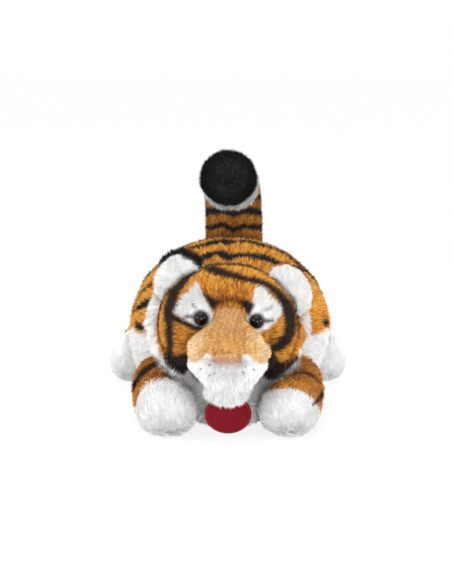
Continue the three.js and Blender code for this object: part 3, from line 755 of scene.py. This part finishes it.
# In millimetres
FLOOR_CLEAR = 0.4
ROOT_DEPTH = 0.5
SMUDGE = 0.4
# How hairs differ: the spread of their lift, the least and most lift in radians, and the range of
# their lengths and widths as shares
LIFT_SPREAD = 0.16
LIFTS = (0.15, 1.4)
LENGTHS = (0.78, 1.12)
WIDTHS = (0.75, 1.2)
# How one hair runs: its wander and droop, how far along it bends, and its width there as a share
WANDER = 0.22
DROOP = 0.12
BEND_AT = 0.55
TAPER = 0.85
# Dyes below this share only tint, and a hair's own dye has this share of what is left
FAINT = 0.34
SINGLE = 0.8
# Left and right edges of a hair in its atlas cell
HAIR_CELL = (0.16, 0.84)


def drift(place, scale, seed):
    """A smooth wander of the pile's direction."""
    return np.stack([waves(place, scale, seed + i) for i in range(3)], 1)


def blades(place, normal, coat, draw):
    """Root, middle and tip corners of the hairs, in millimetres: an array of hairs by 5 by 3."""
    number = len(place)
    way = coat["comb"](place)
    flat = unit(way - np.einsum("ij,ij->i", way, normal)[:, None] * normal)
    bent = drift(place, 26, 11) * WANDER + drift(place, 7, 21) * coat["clump"]
    flat = unit(flat + bent + draw.normal(size=(number, 3)) * coat["stray"])
    lift = math.radians(coat["lift"]) + draw.normal(size=number) * LIFT_SPREAD
    lift = np.clip(lift, *LIFTS)[:, None]
    first = unit(flat * np.cos(lift) + normal * np.sin(lift))
    second = unit(first + flat * coat["curl"] - normal * DROOP)
    length = (at_place(coat["length"], place) * draw.uniform(*LENGTHS, number))[:, None]
    roll = draw.normal(size=number)[:, None] * coat["roll"]
    across = unit(np.cross(first, normal))
    across = unit(across * np.cos(roll) + np.cross(first, across) * np.sin(roll))
    half = across * (coat["width"] * draw.uniform(*WIDTHS, number) / 2)[:, None]
    root = place - normal * ROOT_DEPTH
    middle = root + first * length * BEND_AT
    tip = middle + second * length * 0.5
    hair = np.stack([root - half, root + half, middle + half * TAPER, middle - half * TAPER, tip], 1)
    hair[:, :, 2] = np.maximum(hair[:, :, 2], FLOOR_CLEAR)
    return hair


def layers(dyes):
    """What each dye has to cover, laid one over the other, so that it ends with its own share."""
    orange = 1 - dyes.sum(1, keepdims=True)
    return dyes / np.maximum(orange + np.cumsum(dyes, axis=1), 1e-6)


def cells(number, total, first):
    """Lower corners and size of atlas cells, one for each face or hair."""
    across = math.ceil(math.sqrt(total))
    index = np.arange(first, first + number)
    return np.stack([index % across, index // across], 1) / across, 1 / across


def one_dye_each(dyes, draw):
    """Each hair takes one of the strong dyes nearly whole, and a faint one tints them all alike."""
    dyes = np.concatenate([dyes, 1 - dyes.sum(1, keepdims=True)], 1)
    strong = np.where(dyes > FAINT, dyes, 0)
    most = strong.sum(1, keepdims=True)
    chosen = (draw.random((len(dyes), 1)) * most < np.cumsum(strong, axis=1)).argmax(1)
    single = np.eye(dyes.shape[1])[chosen]
    shared = strong / np.maximum(most, 1e-9)
    return (dyes - strong + most * (SINGLE * single + (1 - SINGLE) * shared))[:, :len(DYES)]


def furred(skin, cover, node, coat, seed):
    """One mesh of a cover and its pile, with its dyes and baking map."""
    draw = np.random.default_rng(seed)
    place, normal = sample(skin.data, coat["per_mm"], coat["most"], draw)
    keep = coat["keep"](place)
    place, normal = place[keep], normal[keep]
    hair = blades(place, normal, coat, draw)
    seen_at = hair[:, 2:].mean(1) + draw.normal(size=place.shape) * SMUDGE
    dyes = layers(one_dye_each(coat["paint"](seen_at, normal), draw))
    fleck = 0.2 * waves(place, 11, 31) + 0.34 * waves(place, 4.2, 32)
    # A coat's brightness shifts every hair's tone; on the sleeves, feet and paws that shift is painted
    # light and shade
    tone = held(0.5 + at_place(coat["bright"], place) + fleck + draw.normal(size=len(place)) * 0.25)
    hair = hair * MM
    count = len(hair)

    base = corners(cover.data)
    base_dyes = layers(coat["paint"](base / MM, corners(cover.data, "normal")))
    sides = np.array([len(face.vertices) for face in cover.data.polygons])
    starts = np.concatenate([[0], np.cumsum(sides)[:-1]])
    loops = np.empty(len(cover.data.loops), np.int32)
    cover.data.loops.foreach_get("vertex_index", loops)

    # Every hair has five points, seven corners and two faces, after those of the cover
    first = len(base)
    ids = first + np.arange(count)[:, None] * 5
    quads = (ids + [0, 1, 2, 3]).ravel()
    tips = (ids + [3, 2, 4]).ravel()
    hair_loops = np.concatenate([quads.reshape(-1, 4), tips.reshape(-1, 3)], 1).ravel()
    hair_starts = len(loops) + (np.arange(count)[:, None] * 7 + [0, 4]).ravel()
    total = len(sides) + count

    corner, size = cells(len(sides), total, 0)
    around = np.arange(len(loops)) - np.repeat(starts, sides)
    angle = (around + 0.5) / np.repeat(sides, sides) * 2 * math.pi
    box = np.stack([0.5 - 0.46 * np.cos(angle), 0.5 - 0.46 * np.sin(angle)], 1)
    base_uv = np.repeat(corner, sides, axis=0) + size * box
    corner, size = cells(count, total, len(sides))
    low, high = HAIR_CELL
    shape = np.array([(low, 0.06), (high, 0.06), (high, BEND_AT), (low, BEND_AT),
                      (low, BEND_AT), (high, BEND_AT), (0.5, 0.96)])
    hair_uv = (corner[:, None] + size * shape).reshape(-1, 2)

    mesh = bpy.data.meshes.new(node + "_pile")
    mesh.vertices.add(first + count * 5)
    mesh.vertices.foreach_set("co", np.concatenate([base, hair.reshape(-1, 3)]).ravel())
    mesh.loops.add(len(loops) + len(hair_loops))
    mesh.loops.foreach_set("vertex_index", np.concatenate([loops, hair_loops]).astype(np.int32))
    mesh.polygons.add(len(starts) + len(hair_starts))
    mesh.polygons.foreach_set("loop_start", np.concatenate([starts, hair_starts]).astype(np.int32))
    mesh.update(calc_edges=True)
    mesh.shade_smooth()
    chart = mesh.uv_layers.new(name="OFBake")
    chart.data.foreach_set("uv", np.concatenate([base_uv, hair_uv]).ravel())

    for index, name in enumerate(DYES):
        record(mesh, name, base_dyes[:, index], np.repeat(dyes[:, index], 5))
    record(mesh, "tone", np.full(first, 0.4), np.repeat(tone, 5))
    # The cover under the pile takes a colour near the roots': painted shade
    record(mesh, "along", np.full(first, 0.12), np.tile([0, 0, BEND_AT, BEND_AT, 1], count))
    piece = bpy.data.objects.new(node + "_pile", mesh)
    link(piece)
    return piece


# Skins: the sewn covers of one stuffed form, cut again at its seams

SEAM_REACH = 0.9


def seam_plane(one, other):
    """The flat of the seam between two CAD covers: its middle and its normal."""
    a, b = corners(nodes[one].data), corners(nodes[other].data)
    gap = np.full(len(a), FAR)
    for spot in b:
        gap = np.minimum(gap, size_of(a - spot))
    ring = a[gap < SEAM_REACH * MM]
    middle = ring.mean(0)
    return middle, np.linalg.svd(ring - middle, full_matrices=False)[2][2]


def push(piece, distance):
    """Moves a piece's surface out along its normals, or in where the distance is below zero."""
    apply_modifier(piece, "DISPLACE", strength=distance * MM, mid_level=0, direction="NORMAL")


def relax(piece, times):
    apply_modifier(piece, "SMOOTH", factor=0.5, iterations=times)


def remeshed(names, new_name, voxel):
    """One closed skin round these CAD nodes."""
    piece = joined_copy(names, new_name)
    apply_modifier(piece, "REMESH", mode="VOXEL", voxel_size=voxel * MM, adaptivity=0)
    keep_largest(piece)
    return piece


def skin_of(form, pieces, voxel, sink, puff, smooth):
    """The closed skin of a stuffed form, sunk a little to leave room for the pile."""
    skin = remeshed(pieces, form + "_skin", voxel)
    relax(skin, smooth)
    push(skin, -(sink + puff))
    if puff:
        swell(skin, puff * 1.25 * MM)
        relax(skin, 2)
    apply_modifier(skin, "SUBSURF", levels=1, render_levels=1)
    spots = corners(skin.data)
    spots[:, 2] = np.maximum(spots[:, 2], (FLOOR_CLEAR + 0.2) * MM)
    set_corners(skin.data, spots)
    return skin


# Heights on the snout, and its width there as a share of the CAD's
SNOUT_WIDTHS = [
    (40, 0.88), (50, 0.8), (56, 0.75), (62, 0.72), (68, 0.77), (72, 0.87), (76, 0.945), (82, 1.03),
    (85, 1.1), (88, 1.18), (91, 1.12), (94, 1.04), (98, 0.975), (102, 0.96), (108, 0.93), (115, 0.77),
    (119, 0.82), (124, 0.95), (132, 1.2)]


def shape_snout(skin):
    """Draws the snout in below its lobes and above them, and sews its back to the face."""
    spots = corners(skin.data) / MM
    x, y, z = spots.T.copy()
    spots[:, 0] = 0.2 + (x + 1.2) * np.interp(z, *zip(*SNOUT_WIDTHS))
    spots[:, 0] += np.interp(z, (76, 82, 88, 97, 106), (0, 1, 0, -1.8, 0))
    # The bridge runs back into the forehead
    spots[:, 1] += 0.5 * np.clip(z - 110, 0, 26)
    spots[:, 2] += 0.8 * held((z - 114) / 16)
    # Behind the lobes and the chin, the stuffing goes back to the face, which slopes away below
    face = -93 - 50 * np.sqrt(held(1 - ((z - 105) / 54) ** 2))
    front = np.interp(z, (46, 60, 72), (-158, -164, -176))
    back = held((y - front) / (-148 - front)) * held((z - 46) / 12)
    spots[:, 1] += back * np.clip(face + 148 + 12 * held((z - 90) / 8), 0, 40)
    set_corners(skin.data, spots * MM)
    relax(skin, 10)


def fill_out(skin):
    """The stuffing lies a little more to the body's left."""
    spots = corners(skin.data) / MM
    spots[:, 0] += 4.6 * held(spots[:, 0] / 90) * held((spots[:, 2] - 34) / 40)
    set_corners(skin.data, spots * MM)


CUT = "cut_"


def cut_at_seams(skin, covers, seams):
    """Splits a skin into one open cover for each CAD cover, along its seams."""
    alone(skin)
    if len(covers) == 1:
        return {covers[0]: skin}
    mode("EDIT")
    for one, other in seams:
        middle, normal = seam_plane(one, other)
        bpy.ops.mesh.select_all(action="SELECT")
        bpy.ops.mesh.bisect(plane_co=middle, plane_no=normal, threshold=MERGE * MM)
    mode("OBJECT")
    trees = []
    for name in covers:
        data = nodes[name].data
        trees.append(BVHTree.FromPolygons([vert.co for vert in data.vertices],
                                          [tuple(face.vertices) for face in data.polygons]))
        skin.data.materials.append(bpy.data.materials.new(CUT + name))
    for face in skin.data.polygons:
        away = [tree.find_nearest(face.center)[3] for tree in trees]
        face.material_index = away.index(min(away))
    alone(skin)
    bpy.ops.mesh.separate(type="MATERIAL")
    parts = {}
    for piece in list(bpy.context.selected_objects):
        name = piece.data.materials[piece.data.polygons[0].material_index].name[len(CUT):]
        piece.data.materials.clear()
        parts[name] = piece
    return parts


CLOTH_THICKNESS = 1.6


def walled(piece):
    """A closed copy of an open cover: cloth with a thickness, inside its outer face."""
    cover = copy_of(piece)
    apply_modifier(cover, "SOLIDIFY", thickness=CLOTH_THICKNESS * MM, offset=-1, use_rim=True,
                   use_even_offset=False)
    return cover


# Shading

class Value:
    """A node socket that takes part in sums."""

    def __init__(self, tree, socket):
        self.tree, self.socket = tree, socket

    def _math(self, operation, *terms):
        node = self.tree.nodes.new("ShaderNodeMath")
        node.operation = operation
        for slot, term in zip(node.inputs, terms):
            if isinstance(term, Value):
                self.tree.links.new(term.socket, slot)
            else:
                slot.default_value = term
        return Value(self.tree, node.outputs[0])

    def __add__(self, other):
        return self._math("ADD", self, other)

    def __radd__(self, other):
        return self._math("ADD", other, self)

    def __sub__(self, other):
        return self._math("SUBTRACT", self, other)

    def __rsub__(self, other):
        return self._math("SUBTRACT", other, self)

    def __mul__(self, other):
        return self._math("MULTIPLY", self, other)

    def __rmul__(self, other):
        return self._math("MULTIPLY", other, self)

    def larger(self, other):
        return self._math("MAXIMUM", self, other)

    def smaller(self, other):
        return self._math("MINIMUM", self, other)

    def held(self):
        return self.larger(0).smaller(1)


class Finish:
    """A material and the nodes that make it."""

    def __init__(self, name, **settings):
        self.material = bpy.data.materials.new(name)
        self.material.use_nodes = True
        self.tree = self.material.node_tree
        self.shader = self.tree.nodes["Principled BSDF"]
        for key, value in settings.items():
            self.shader.inputs[key.replace("_", " ")].default_value = value

    def node(self, kind, settings=None, output=0, **values):
        """A new node. An input is given by its name, or as i and its number."""
        made = self.tree.nodes.new(kind)
        for key, value in (settings or {}).items():
            setattr(made, key, value)
        for key, value in values.items():
            numbered = key[0] == "i" and key[1:].isdigit()
            slot = made.inputs[int(key[1:]) if numbered else key.replace("_", " ")]
            if isinstance(value, Value):
                self.tree.links.new(value.socket, slot)
            else:
                slot.default_value = value
        return Value(self.tree, made.outputs[output])

    def attribute(self, name):
        return self.node("ShaderNodeAttribute", {"attribute_name": name}, "Fac")

    def place(self):
        return self.node("ShaderNodeTexCoord", output="Object")

    def noise(self, scale, detail=2.0):
        return self.node("ShaderNodeTexNoise", Vector=self.place(), Scale=scale, Detail=detail)

    def threads(self, way, where):
        return self.node("ShaderNodeTexWave", {"wave_type": "BANDS", "bands_direction": way}, 1,
                         Vector=where, Scale=420.0, Distortion=0.3)

    def mix(self, share, one, other):
        """Two colours mixed; the node's colour sockets have these numbers."""
        return self.node("ShaderNodeMix", {"data_type": "RGBA"}, 2, i0=share, i6=one, i7=other)

    def feed(self, name, value):
        self.tree.links.new(value.socket, self.shader.inputs[name])

    def bump(self, height, strength, distance):
        self.feed("Normal", self.node("ShaderNodeBump", Height=height, Strength=strength,
                                      Distance=distance))


def srgb(red, green, blue):
    """A colour as a screen shows it, as the light values that a shader takes."""
    def light(value):
        value /= 255
        return value / 12.92 if value <= 0.04045 else ((value + 0.055) / 1.055) ** 2.4
    return (light(red), light(green), light(blue), 1)


# What each dye is at a hair's root and at its tip: the root colour is painted shade deep in the pile,
# the tip colour painted light
ORANGE_ROOT, ORANGE_TIP = srgb(158, 78, 10), srgb(244, 182, 74)
DYE_COLOURS = {
    "black": (srgb(6, 5, 7), srgb(33, 29, 34)),
    "white": (srgb(226, 226, 225), srgb(252, 252, 251)),
    "tan": (srgb(188, 128, 58), srgb(243, 208, 138)),
    "pink": (srgb(182, 138, 126), srgb(214, 184, 170)),
    "brown": (srgb(100, 44, 10), srgb(192, 110, 40)),
}


def pile_finish(name):
    """Dyed plush: darker at the roots as painted shade deep in the pile, paler at the tips as painted
    light, each hair a little different.
    """
    finish = Finish(name, Roughness=0.85, Sheen_Weight=0.12, Sheen_Roughness=0.5,
                    Specular_IOR_Level=0.18)
    tone, along = finish.attribute("tone"), finish.attribute("along")
    fine = finish.noise(420, 2)
    share = (0.45 * along + 0.95 * tone + 0.25 * fine - 0.36).held()
    colour = finish.mix(share, ORANGE_ROOT, ORANGE_TIP)
    for dye in DYES:
        root, tip = DYE_COLOURS[dye]
        colour = finish.mix(finish.attribute(dye).held(), colour, finish.mix(share, root, tip))
    finish.feed("Base Color", colour)
    return finish.material


def clouded_finish(name, cloud, dark, light, grain, strength, distance, **settings):
    """Two near tones in clouds, with a fine grain; each noise is a scale and a detail."""
    finish = Finish(name, **settings)
    finish.feed("Base Color", finish.mix(finish.noise(*cloud), dark, light))
    finish.bump(finish.noise(*grain), strength, distance)
    return finish.material


def eye_finish():
    """A glossy black pupil in a dark amber rim, by the distance from the eye's middle."""
    finish = Finish("eye_finish", Roughness=0.04, Specular_IOR_Level=0.28)
    out = finish.attribute("out")
    rim = ((out - 0.74) * 9).held() * (1 - ((out - 0.95) * 20).held())
    amber = finish.mix(finish.noise(700, 3), srgb(18, 9, 5), srgb(46, 24, 11))
    finish.feed("Base Color", finish.mix(rim, srgb(6, 5, 5), amber))
    return finish.material


def tag_finish(name, dark, light):
    """Woven satin tape: fine crossed threads."""
    finish = Finish(name, Roughness=0.65, Specular_IOR_Level=0.16)
    where = finish.place()
    weave = finish.threads("X", where) * 0.5 + finish.threads("Z", where) * 0.5
    cloud = finish.noise(70, 3)
    finish.feed("Base Color", finish.mix((weave * 0.6 + cloud * 0.4).held(), dark, light))
    finish.bump(weave, 0.4, 0.0003)
    return finish.material


finishes = {slot: pile_finish(slot + "_finish")
            for slot in ("orange_pile", "white_pile", "tan_pile", "black_pile", "nose_pad")}
finishes["fibre_filling"] = clouded_finish(
    "fibre_filling_finish", (160, 4), srgb(226, 226, 224), srgb(248, 248, 246),
    (900, 3), 0.5, 0.0012, Roughness=0.95, Sheen_Weight=0.2, Specular_IOR_Level=0.1)
finishes["eye_plastic"] = eye_finish()
finishes["washer_plastic"] = clouded_finish(
    "washer_plastic_finish", (60, 2), srgb(214, 214, 210), srgb(232, 232, 228),
    (1400, 2), 0.12, 0.0003, Roughness=0.42, Specular_IOR_Level=0.45)
finishes["tag_fabric"] = tag_finish("tag_fabric_finish", srgb(94, 0, 13), srgb(130, 2, 24))
thread_finish = tag_finish("thread_finish", srgb(150, 30, 36), srgb(196, 74, 74))


def place_piece(piece, body, node, slot):
    """Gives a finished piece its finish where it has none and its body, and hides the CAD node that it
    stands for.
    """
    if not piece.data.materials:
        piece.data.materials.append(finishes[slot])
    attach(piece, body)
    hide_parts(node)


# Coats: what a common one is, and how each differs from it. Hairs to a square millimetre and at
# most, lengths and widths in millimetres, lift in degrees off the surface, and the rest as shares.

COMMON = dict(slot="orange_pile", keep=lambda place: np.ones(len(place), bool), per_mm=1.1,
              most=48000, width=0.8, lift=36, clump=0.22, stray=0.2, curl=0.45, roll=0.5, bright=0)
FOOT = dict(slot="white_pile", length=5, width=0.75, per_mm=1.7, comb=steady(0, 0.5, 0.8),
            paint=paint_paw, lift=24, roll=0.3, stray=0.14, clump=0.12, curl=0.2)
COATS = {
    "back": dict(length=7.5, width=0.85, per_mm=0.85, comb=back_comb, paint=paint_body, most=50000),
    "belly": dict(slot="white_pile", length=6, width=1, per_mm=0.5, comb=steady(0, 1, 0),
                  paint=all_over(WHITE), lift=30, most=26000),
    "face": dict(length=face_length, width=0.62, per_mm=1.7, comb=face_comb, paint=paint_head,
                 keep=lambda place: from_eyes(place) > EYE_BARE, lift=38, most=44000),
    "nape": dict(length=7, per_mm=1, comb=steady(0, 1, -0.5), paint=paint_head),
    "ruff": dict(slot="white_pile", length=ruff_length, per_mm=1.8, comb=ruff_comb, paint=paint_ruff,
                 lift=32, clump=0.3, curl=0.35),
    "muzzle": dict(slot="white_pile", length=muzzle_length, width=0.6, per_mm=2.4, comb=muzzle_comb,
                   paint=paint_snout, lift=30),
    # The chin's share of black is painted shade under the muzzle
    "chin": dict(slot="white_pile", length=8, width=0.7, per_mm=2, comb=chin_comb,
                 paint=all_over(WHITE, 0.1), lift=22, clump=0.3),
    "bridge": dict(slot="tan_pile", length=bridge_length, width=0.5, per_mm=3.2, comb=bridge_comb,
                   paint=paint_snout, lift=38, clump=0.2, bright=bridge_bright),
    "collar": dict(length=6, comb=steady(0, 1, 0), paint=paint_collar),
    "nose": dict(slot="nose_pad", length=2.2, width=0.45, per_mm=5, comb=steady(0, 0.3, 1),
                 paint=paint_nose, lift=50),
    # The sleeves' raised brightness is painted light, where the head shades them
    "sleeve": dict(length=7, comb=steady(0, -1, -0.6), paint=paint_sleeve, lift=30, roll=0.4,
                   bright=0.42),
    # The feet's raised brightness is painted light; the paws' lowered brightness is painted shade
    "foot": dict(FOOT, bright=0.55),
    "paw": dict(FOOT, bright=-0.25),
    "thigh": dict(length=7, comb=steady(0, -1, -0.6), paint=paint_hind),
    "stem": dict(length=6.5, width=0.75, per_mm=1.2, comb=steady(0, -0.5, 1), paint=paint_tail),
    "ring": dict(slot="white_pile", length=7, width=0.75, per_mm=1.6, comb=ring_comb,
                 paint=all_over(WHITE), lift=50),
    "tuft": dict(slot="black_pile", length=tuft_length, width=0.7, per_mm=1.6, comb=tuft_comb,
                 paint=all_over(BLACK), lift=60, stray=0.4, bright=-0.35),
}
for side in EYES:
    COATS["ear_lining_" + side] = dict(slot="white_pile", length=5, width=0.7, per_mm=2.4, lift=24,
                                       comb=ear_comb(side), paint=paint_ear_lining(side), roll=0.3)
    COATS["ear_back_" + side] = dict(slot="black_pile", length=ear_back_length(side), width=0.75,
                                     per_mm=2, comb=ear_comb(side), paint=paint_ear_back(side),
                                     lift=30)

# Each stuffed form: its body, its covers with their coats, its fillings and its seams; the size of
# its voxels, how far it sinks for the pile and puffs out again, in millimetres; and its fill

FORMS = [
    ("body", "body", {"back_panel_left": "back", "back_panel_right": "back", "belly_panel": "belly"},
     ["body_filling"], [("back_panel_left", "back_panel_right"), ("back_panel_left", "belly_panel")],
     6.0, 0.5, 2.5, 0.85),
    ("head", "head", {"face_panel": "face", "head_back_panel": "nape"}, ["head_filling"],
     [("face_panel", "head_back_panel")], 4.5, 1.3, 1.5, 0.9),
    ("tail", "tail", {"tail_sleeve": "stem", "tail_ring": "ring", "tail_tuft": "tuft"},
     ["tail_filling"], [("tail_sleeve", "tail_ring"), ("tail_ring", "tail_tuft")], 4.5, 0.5, 1.5, 0.85),
]
for side in EYES:
    for limb, sleeve, end, coats, sink in (
            ("foreleg", "foreleg_sleeve_", "front_paw_", ("sleeve", "paw"), 0.9),
            ("hind_leg", "hind_leg_sleeve_", "hind_foot_", ("thigh", "foot"), 1.2)):
        pair = (sleeve + side, end + side)
        FORMS.append((limb + "_" + side, limb + "_" + side, dict(zip(pair, coats)),
                      [limb + "_filling_" + side], [pair], 4.5, sink, 1.5, 0.85))
    ruff, back, lining = "cheek_ruff_" + side, "ear_back_" + side, "ear_lining_" + side
    FORMS += [
        (ruff, "head", {ruff: "ruff"}, [], [], 3.0, 1.2, 0, 0.6),
        (back, "ear_" + side, {back: back}, [], [], 1.8, 0.5, 0, None),
        (lining, "ear_" + side, {lining: lining}, [], [], 1.5, 0.3, 0, None),
    ]
FORMS += [
    ("snout", "head", {"nose_bridge": "bridge", "muzzle": "muzzle", "chin": "chin"}, [],
     [("nose_bridge", "muzzle"), ("muzzle", "chin")], 2.2, 0.6, 0, 0.8),
    ("nose", "head", {"nose": "nose"}, [], [], 1.2, 0.9, 0, None),
    ("neck_gusset", "neck", {"neck_gusset": "collar"}, [], [], 2.6, 2.2, 0, 0.5),
]

RELAXED = {"snout": 12, "cheek_ruff_left": 1, "cheek_ruff_right": 1}
RESHAPED = {"snout": shape_snout, "body": fill_out}

seed = 100
for form, body, covers, fillings, seams, voxel, sink, puff, fill in FORMS:
    skin = skin_of(form, list(covers) + fillings, voxel, sink, puff, RELAXED.get(form, 4))
    if form in RESHAPED:
        RESHAPED[form](skin)
    for node, part in sorted(cut_at_seams(skin, list(covers), seams).items()):
        seed += 1
        coat = {**COMMON, **COATS[covers[node]]}
        whole = len(covers) == 1
        cover = part if whole else walled(part)
        place_piece(furred(part, cover, node, coat, seed), body, node, coat["slot"])
        if not whole:
            bpy.data.objects.remove(cover)
        bpy.data.objects.remove(part)

# Fillings: loose lumps of fibre inside the covers

FIBRE_VOXEL = 5
FIBRE_SINK = 7.5
FIBRE_LUMPS = 1.2

for node in sorted(node for node in nodes if "filling" in node):
    lump = remeshed([node], node + "_fibre", FIBRE_VOXEL)
    push(lump, -FIBRE_SINK)
    spots = corners(lump.data) / MM
    spots += corners(lump.data, "normal") * (waves(spots, 22, 41) * FIBRE_LUMPS)[:, None]
    set_corners(lump.data, spots * MM)
    lump.data.shade_smooth()
    members = frame["record"]["behaviour"]["bodies"]
    body = next(name for name in members if node in members[name])
    place_piece(lump, body, node, "fibre_filling")

# Eyes: a glossy dome with a short straight edge behind it, on a post

EYE_DEPTH = 5.2
EYE_EDGE = 1.2
POST_INSET = 0.62

for side in EYES:
    low, high = (np.array(corner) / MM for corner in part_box("eye_" + side))
    centre, across, back = (low + high) / 2, (high[0] - low[0]) / 2, low[1] + EYE_DEPTH
    select_nothing()
    bpy.ops.mesh.primitive_uv_sphere_add(
        segments=48, ring_count=24, radius=across * MM, rotation=(math.pi / 2, 0, 0),
        location=(centre[0] * MM, back * MM, centre[2] * MM))
    eye = bpy.context.object
    eye.name = "eye_" + side + "_dome"
    eye.scale = (1, 1, EYE_DEPTH / across)
    settle(eye)
    mode("EDIT")
    bpy.ops.mesh.select_all(action="SELECT")
    bpy.ops.mesh.bisect(plane_co=(0, (back + EYE_EDGE) * MM, 0), plane_no=(0, 1, 0), use_fill=True,
                        clear_outer=True)
    bpy.ops.mesh.inset(thickness=(across - 2) * MM * POST_INSET, depth=0)
    bpy.ops.mesh.extrude_region_move(
        TRANSFORM_OT_translate={"value": (0, (high[1] - back - EYE_EDGE) * MM, 0)})
    mode("OBJECT")
    spots = corners(eye.data) / MM
    out = size_of((spots - centre)[:, [0, 2]]) / across
    record(eye.data, "out", np.where(spots[:, 1] < back, out, 1))
    smooth_by_angle(eye, 40)
    place_piece(eye, "head", "eye_" + side, "eye_plastic")

    washer = nodes["eye_washer_" + side]
    washer.data.materials.clear()
    washer.data.materials.append(finishes["washer_plastic"])

# Tag: a bare red oval with a sewn edge, on its tape. Each ring on its faces is inset by a width, and
# goes to a depth.

TAG_RINGS = [(0.5, 0), (1.9, 0), (0.5, -0.45), (6, 0)]
STITCHES = 44
STITCH_INSET = 1.45
STITCH_RADIUS = 0.34
STITCH_STRETCH = 2.6

low, high = (np.array(corner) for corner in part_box("tag"))
middle, half = (low + high) / 2, (high - low) / 2
select_nothing()
bpy.ops.mesh.primitive_cylinder_add(vertices=96, radius=1, depth=half[1] * 2, location=middle,
                                    rotation=(math.pi / 2, 0, 0))
tag = bpy.context.object
tag.name = "tag_oval"
tag.scale = (half[0], half[2], 1)
settle(tag)
for side in (-1, 1):
    mode("EDIT")
    bpy.ops.mesh.select_all(action="DESELECT")
    mode("OBJECT")
    for face in tag.data.polygons:
        face.select = face.normal[1] * side > 0.9
    mode("EDIT")
    bpy.ops.mesh.select_mode(type="FACE")
    for width, depth in TAG_RINGS:
        bpy.ops.mesh.inset(thickness=width * MM, depth=depth * MM)
mode("OBJECT")
round_edges(tag, 0.5, 3)

select_nothing()
bpy.ops.mesh.primitive_uv_sphere_add(segments=8, ring_count=6, radius=STITCH_RADIUS * MM)
stitch = bpy.context.object
stitch.scale = (STITCH_STRETCH, 1, 1)
settle(stitch)
reach = half - STITCH_INSET * MM
stitches = []
for index in range(STITCHES):
    angle = 2 * math.pi * index / STITCHES
    sine, cosine = math.sin(angle), math.cos(angle)
    twin = copy_of(stitch)
    twin.location = (middle[0] + reach[0] * cosine, low[1] + 0.02 * MM, middle[2] + reach[2] * sine)
    twin.rotation_euler = (0, -math.atan2(reach[2] * cosine, -reach[0] * sine), 0)
    settle(twin)
    twin.data.materials.append(thread_finish)
    stitches.append(twin)
tag.data.materials.append(finishes["tag_fabric"])
alone(tag, *stitches)
bpy.ops.object.join()
bpy.data.objects.remove(stitch)
smooth_by_angle(tag, 35)
place_piece(tag, "tag", "tag", "tag_fabric")

tape = joined_copy(["tag_ribbon"], "tag_ribbon_tape")
round_edges(tape, 0.25, 2)
smooth_by_angle(tape, 35)
place_piece(tape, "body", "tag_ribbon", "tag_fabric")

# Floor, light and camera

def in_sight(tree):
    """1 for what the camera sees, straight, in a reflection or through something clear."""
    path = tree.nodes.new("ShaderNodeLightPath")
    camera, glossy, clear = (Value(tree, path.outputs["Is %s Ray" % kind])
                             for kind in ("Camera", "Glossy", "Transmission"))
    return camera.larger(glossy).larger(clear)


GLOW = 1.04
GLOW_SHARE = 0.82
select_nothing()
bpy.ops.mesh.primitive_plane_add(size=14, location=(0, 4, 0))
floor = bpy.context.object
floor.name = "floor"
ground = Finish("floor_finish", Roughness=0.9, Specular_IOR_Level=0.1,
                Base_Color=srgb(250, 250, 250))
glow = ground.node("ShaderNodeEmission", Color=(1, 1, 1, 1), Strength=GLOW)
both = ground.node("ShaderNodeMixShader", i0=in_sight(ground.tree) * GLOW_SHARE,
                   i1=Value(ground.tree, ground.shader.outputs[0]), i2=glow)
ground.tree.links.new(both.socket, ground.tree.nodes["Material Output"].inputs["Surface"])
floor.data.materials.append(ground.material)

AMBIENT = 0.8
world = bpy.data.worlds.new("studio")
bpy.context.scene.world = world
world.use_nodes = True
sky = world.node_tree
back_light = sky.nodes["Background"].inputs
back_light["Color"].default_value = (1, 1, 1, 1)
sky.links.new((AMBIENT + in_sight(sky) * (1 - AMBIENT)).socket, back_light["Strength"])

# Lamps: place, the height that each aims at, size and power
for name, place, height, size, power in (
        ("key", (-1.35, -1.15, 0.7), 0.08, 0.42, 11), ("fill", (1.5, -1.0, 0.4), 0.08, 0.42, 9),
        ("front", (0.25, -1.75, 0.2), 0.06, 0.35, 6), ("top", (-0.1, -0.5, 2.0), 0.08, 1.2, 12)):
    light = bpy.data.lights.new(name, "AREA")
    light.size, light.energy = size, power
    lamp = bpy.data.objects.new(name, light)
    lamp.location = place
    lamp.rotation_euler = (Vector((0, 0, height)) - lamp.location).to_track_quat("-Z", "Y").to_euler()
    link(lamp)

LENS = 89.75
CAMERA_WAY = (0, 0.98395, -0.17846)
camera_data = bpy.data.cameras.new("camera")
camera_data.lens = LENS
camera_data.sensor_width = 36
camera = bpy.data.objects.new("camera", camera_data)
camera.location = EYE_POINT * MM
camera.rotation_euler = Vector(CAMERA_WAY).to_track_quat("-Z", "Y").to_euler()
link(camera)
bpy.context.scene.camera = camera
bpy.context.scene.view_settings.view_transform = "Standard"

bpy.context.view_layer.update()
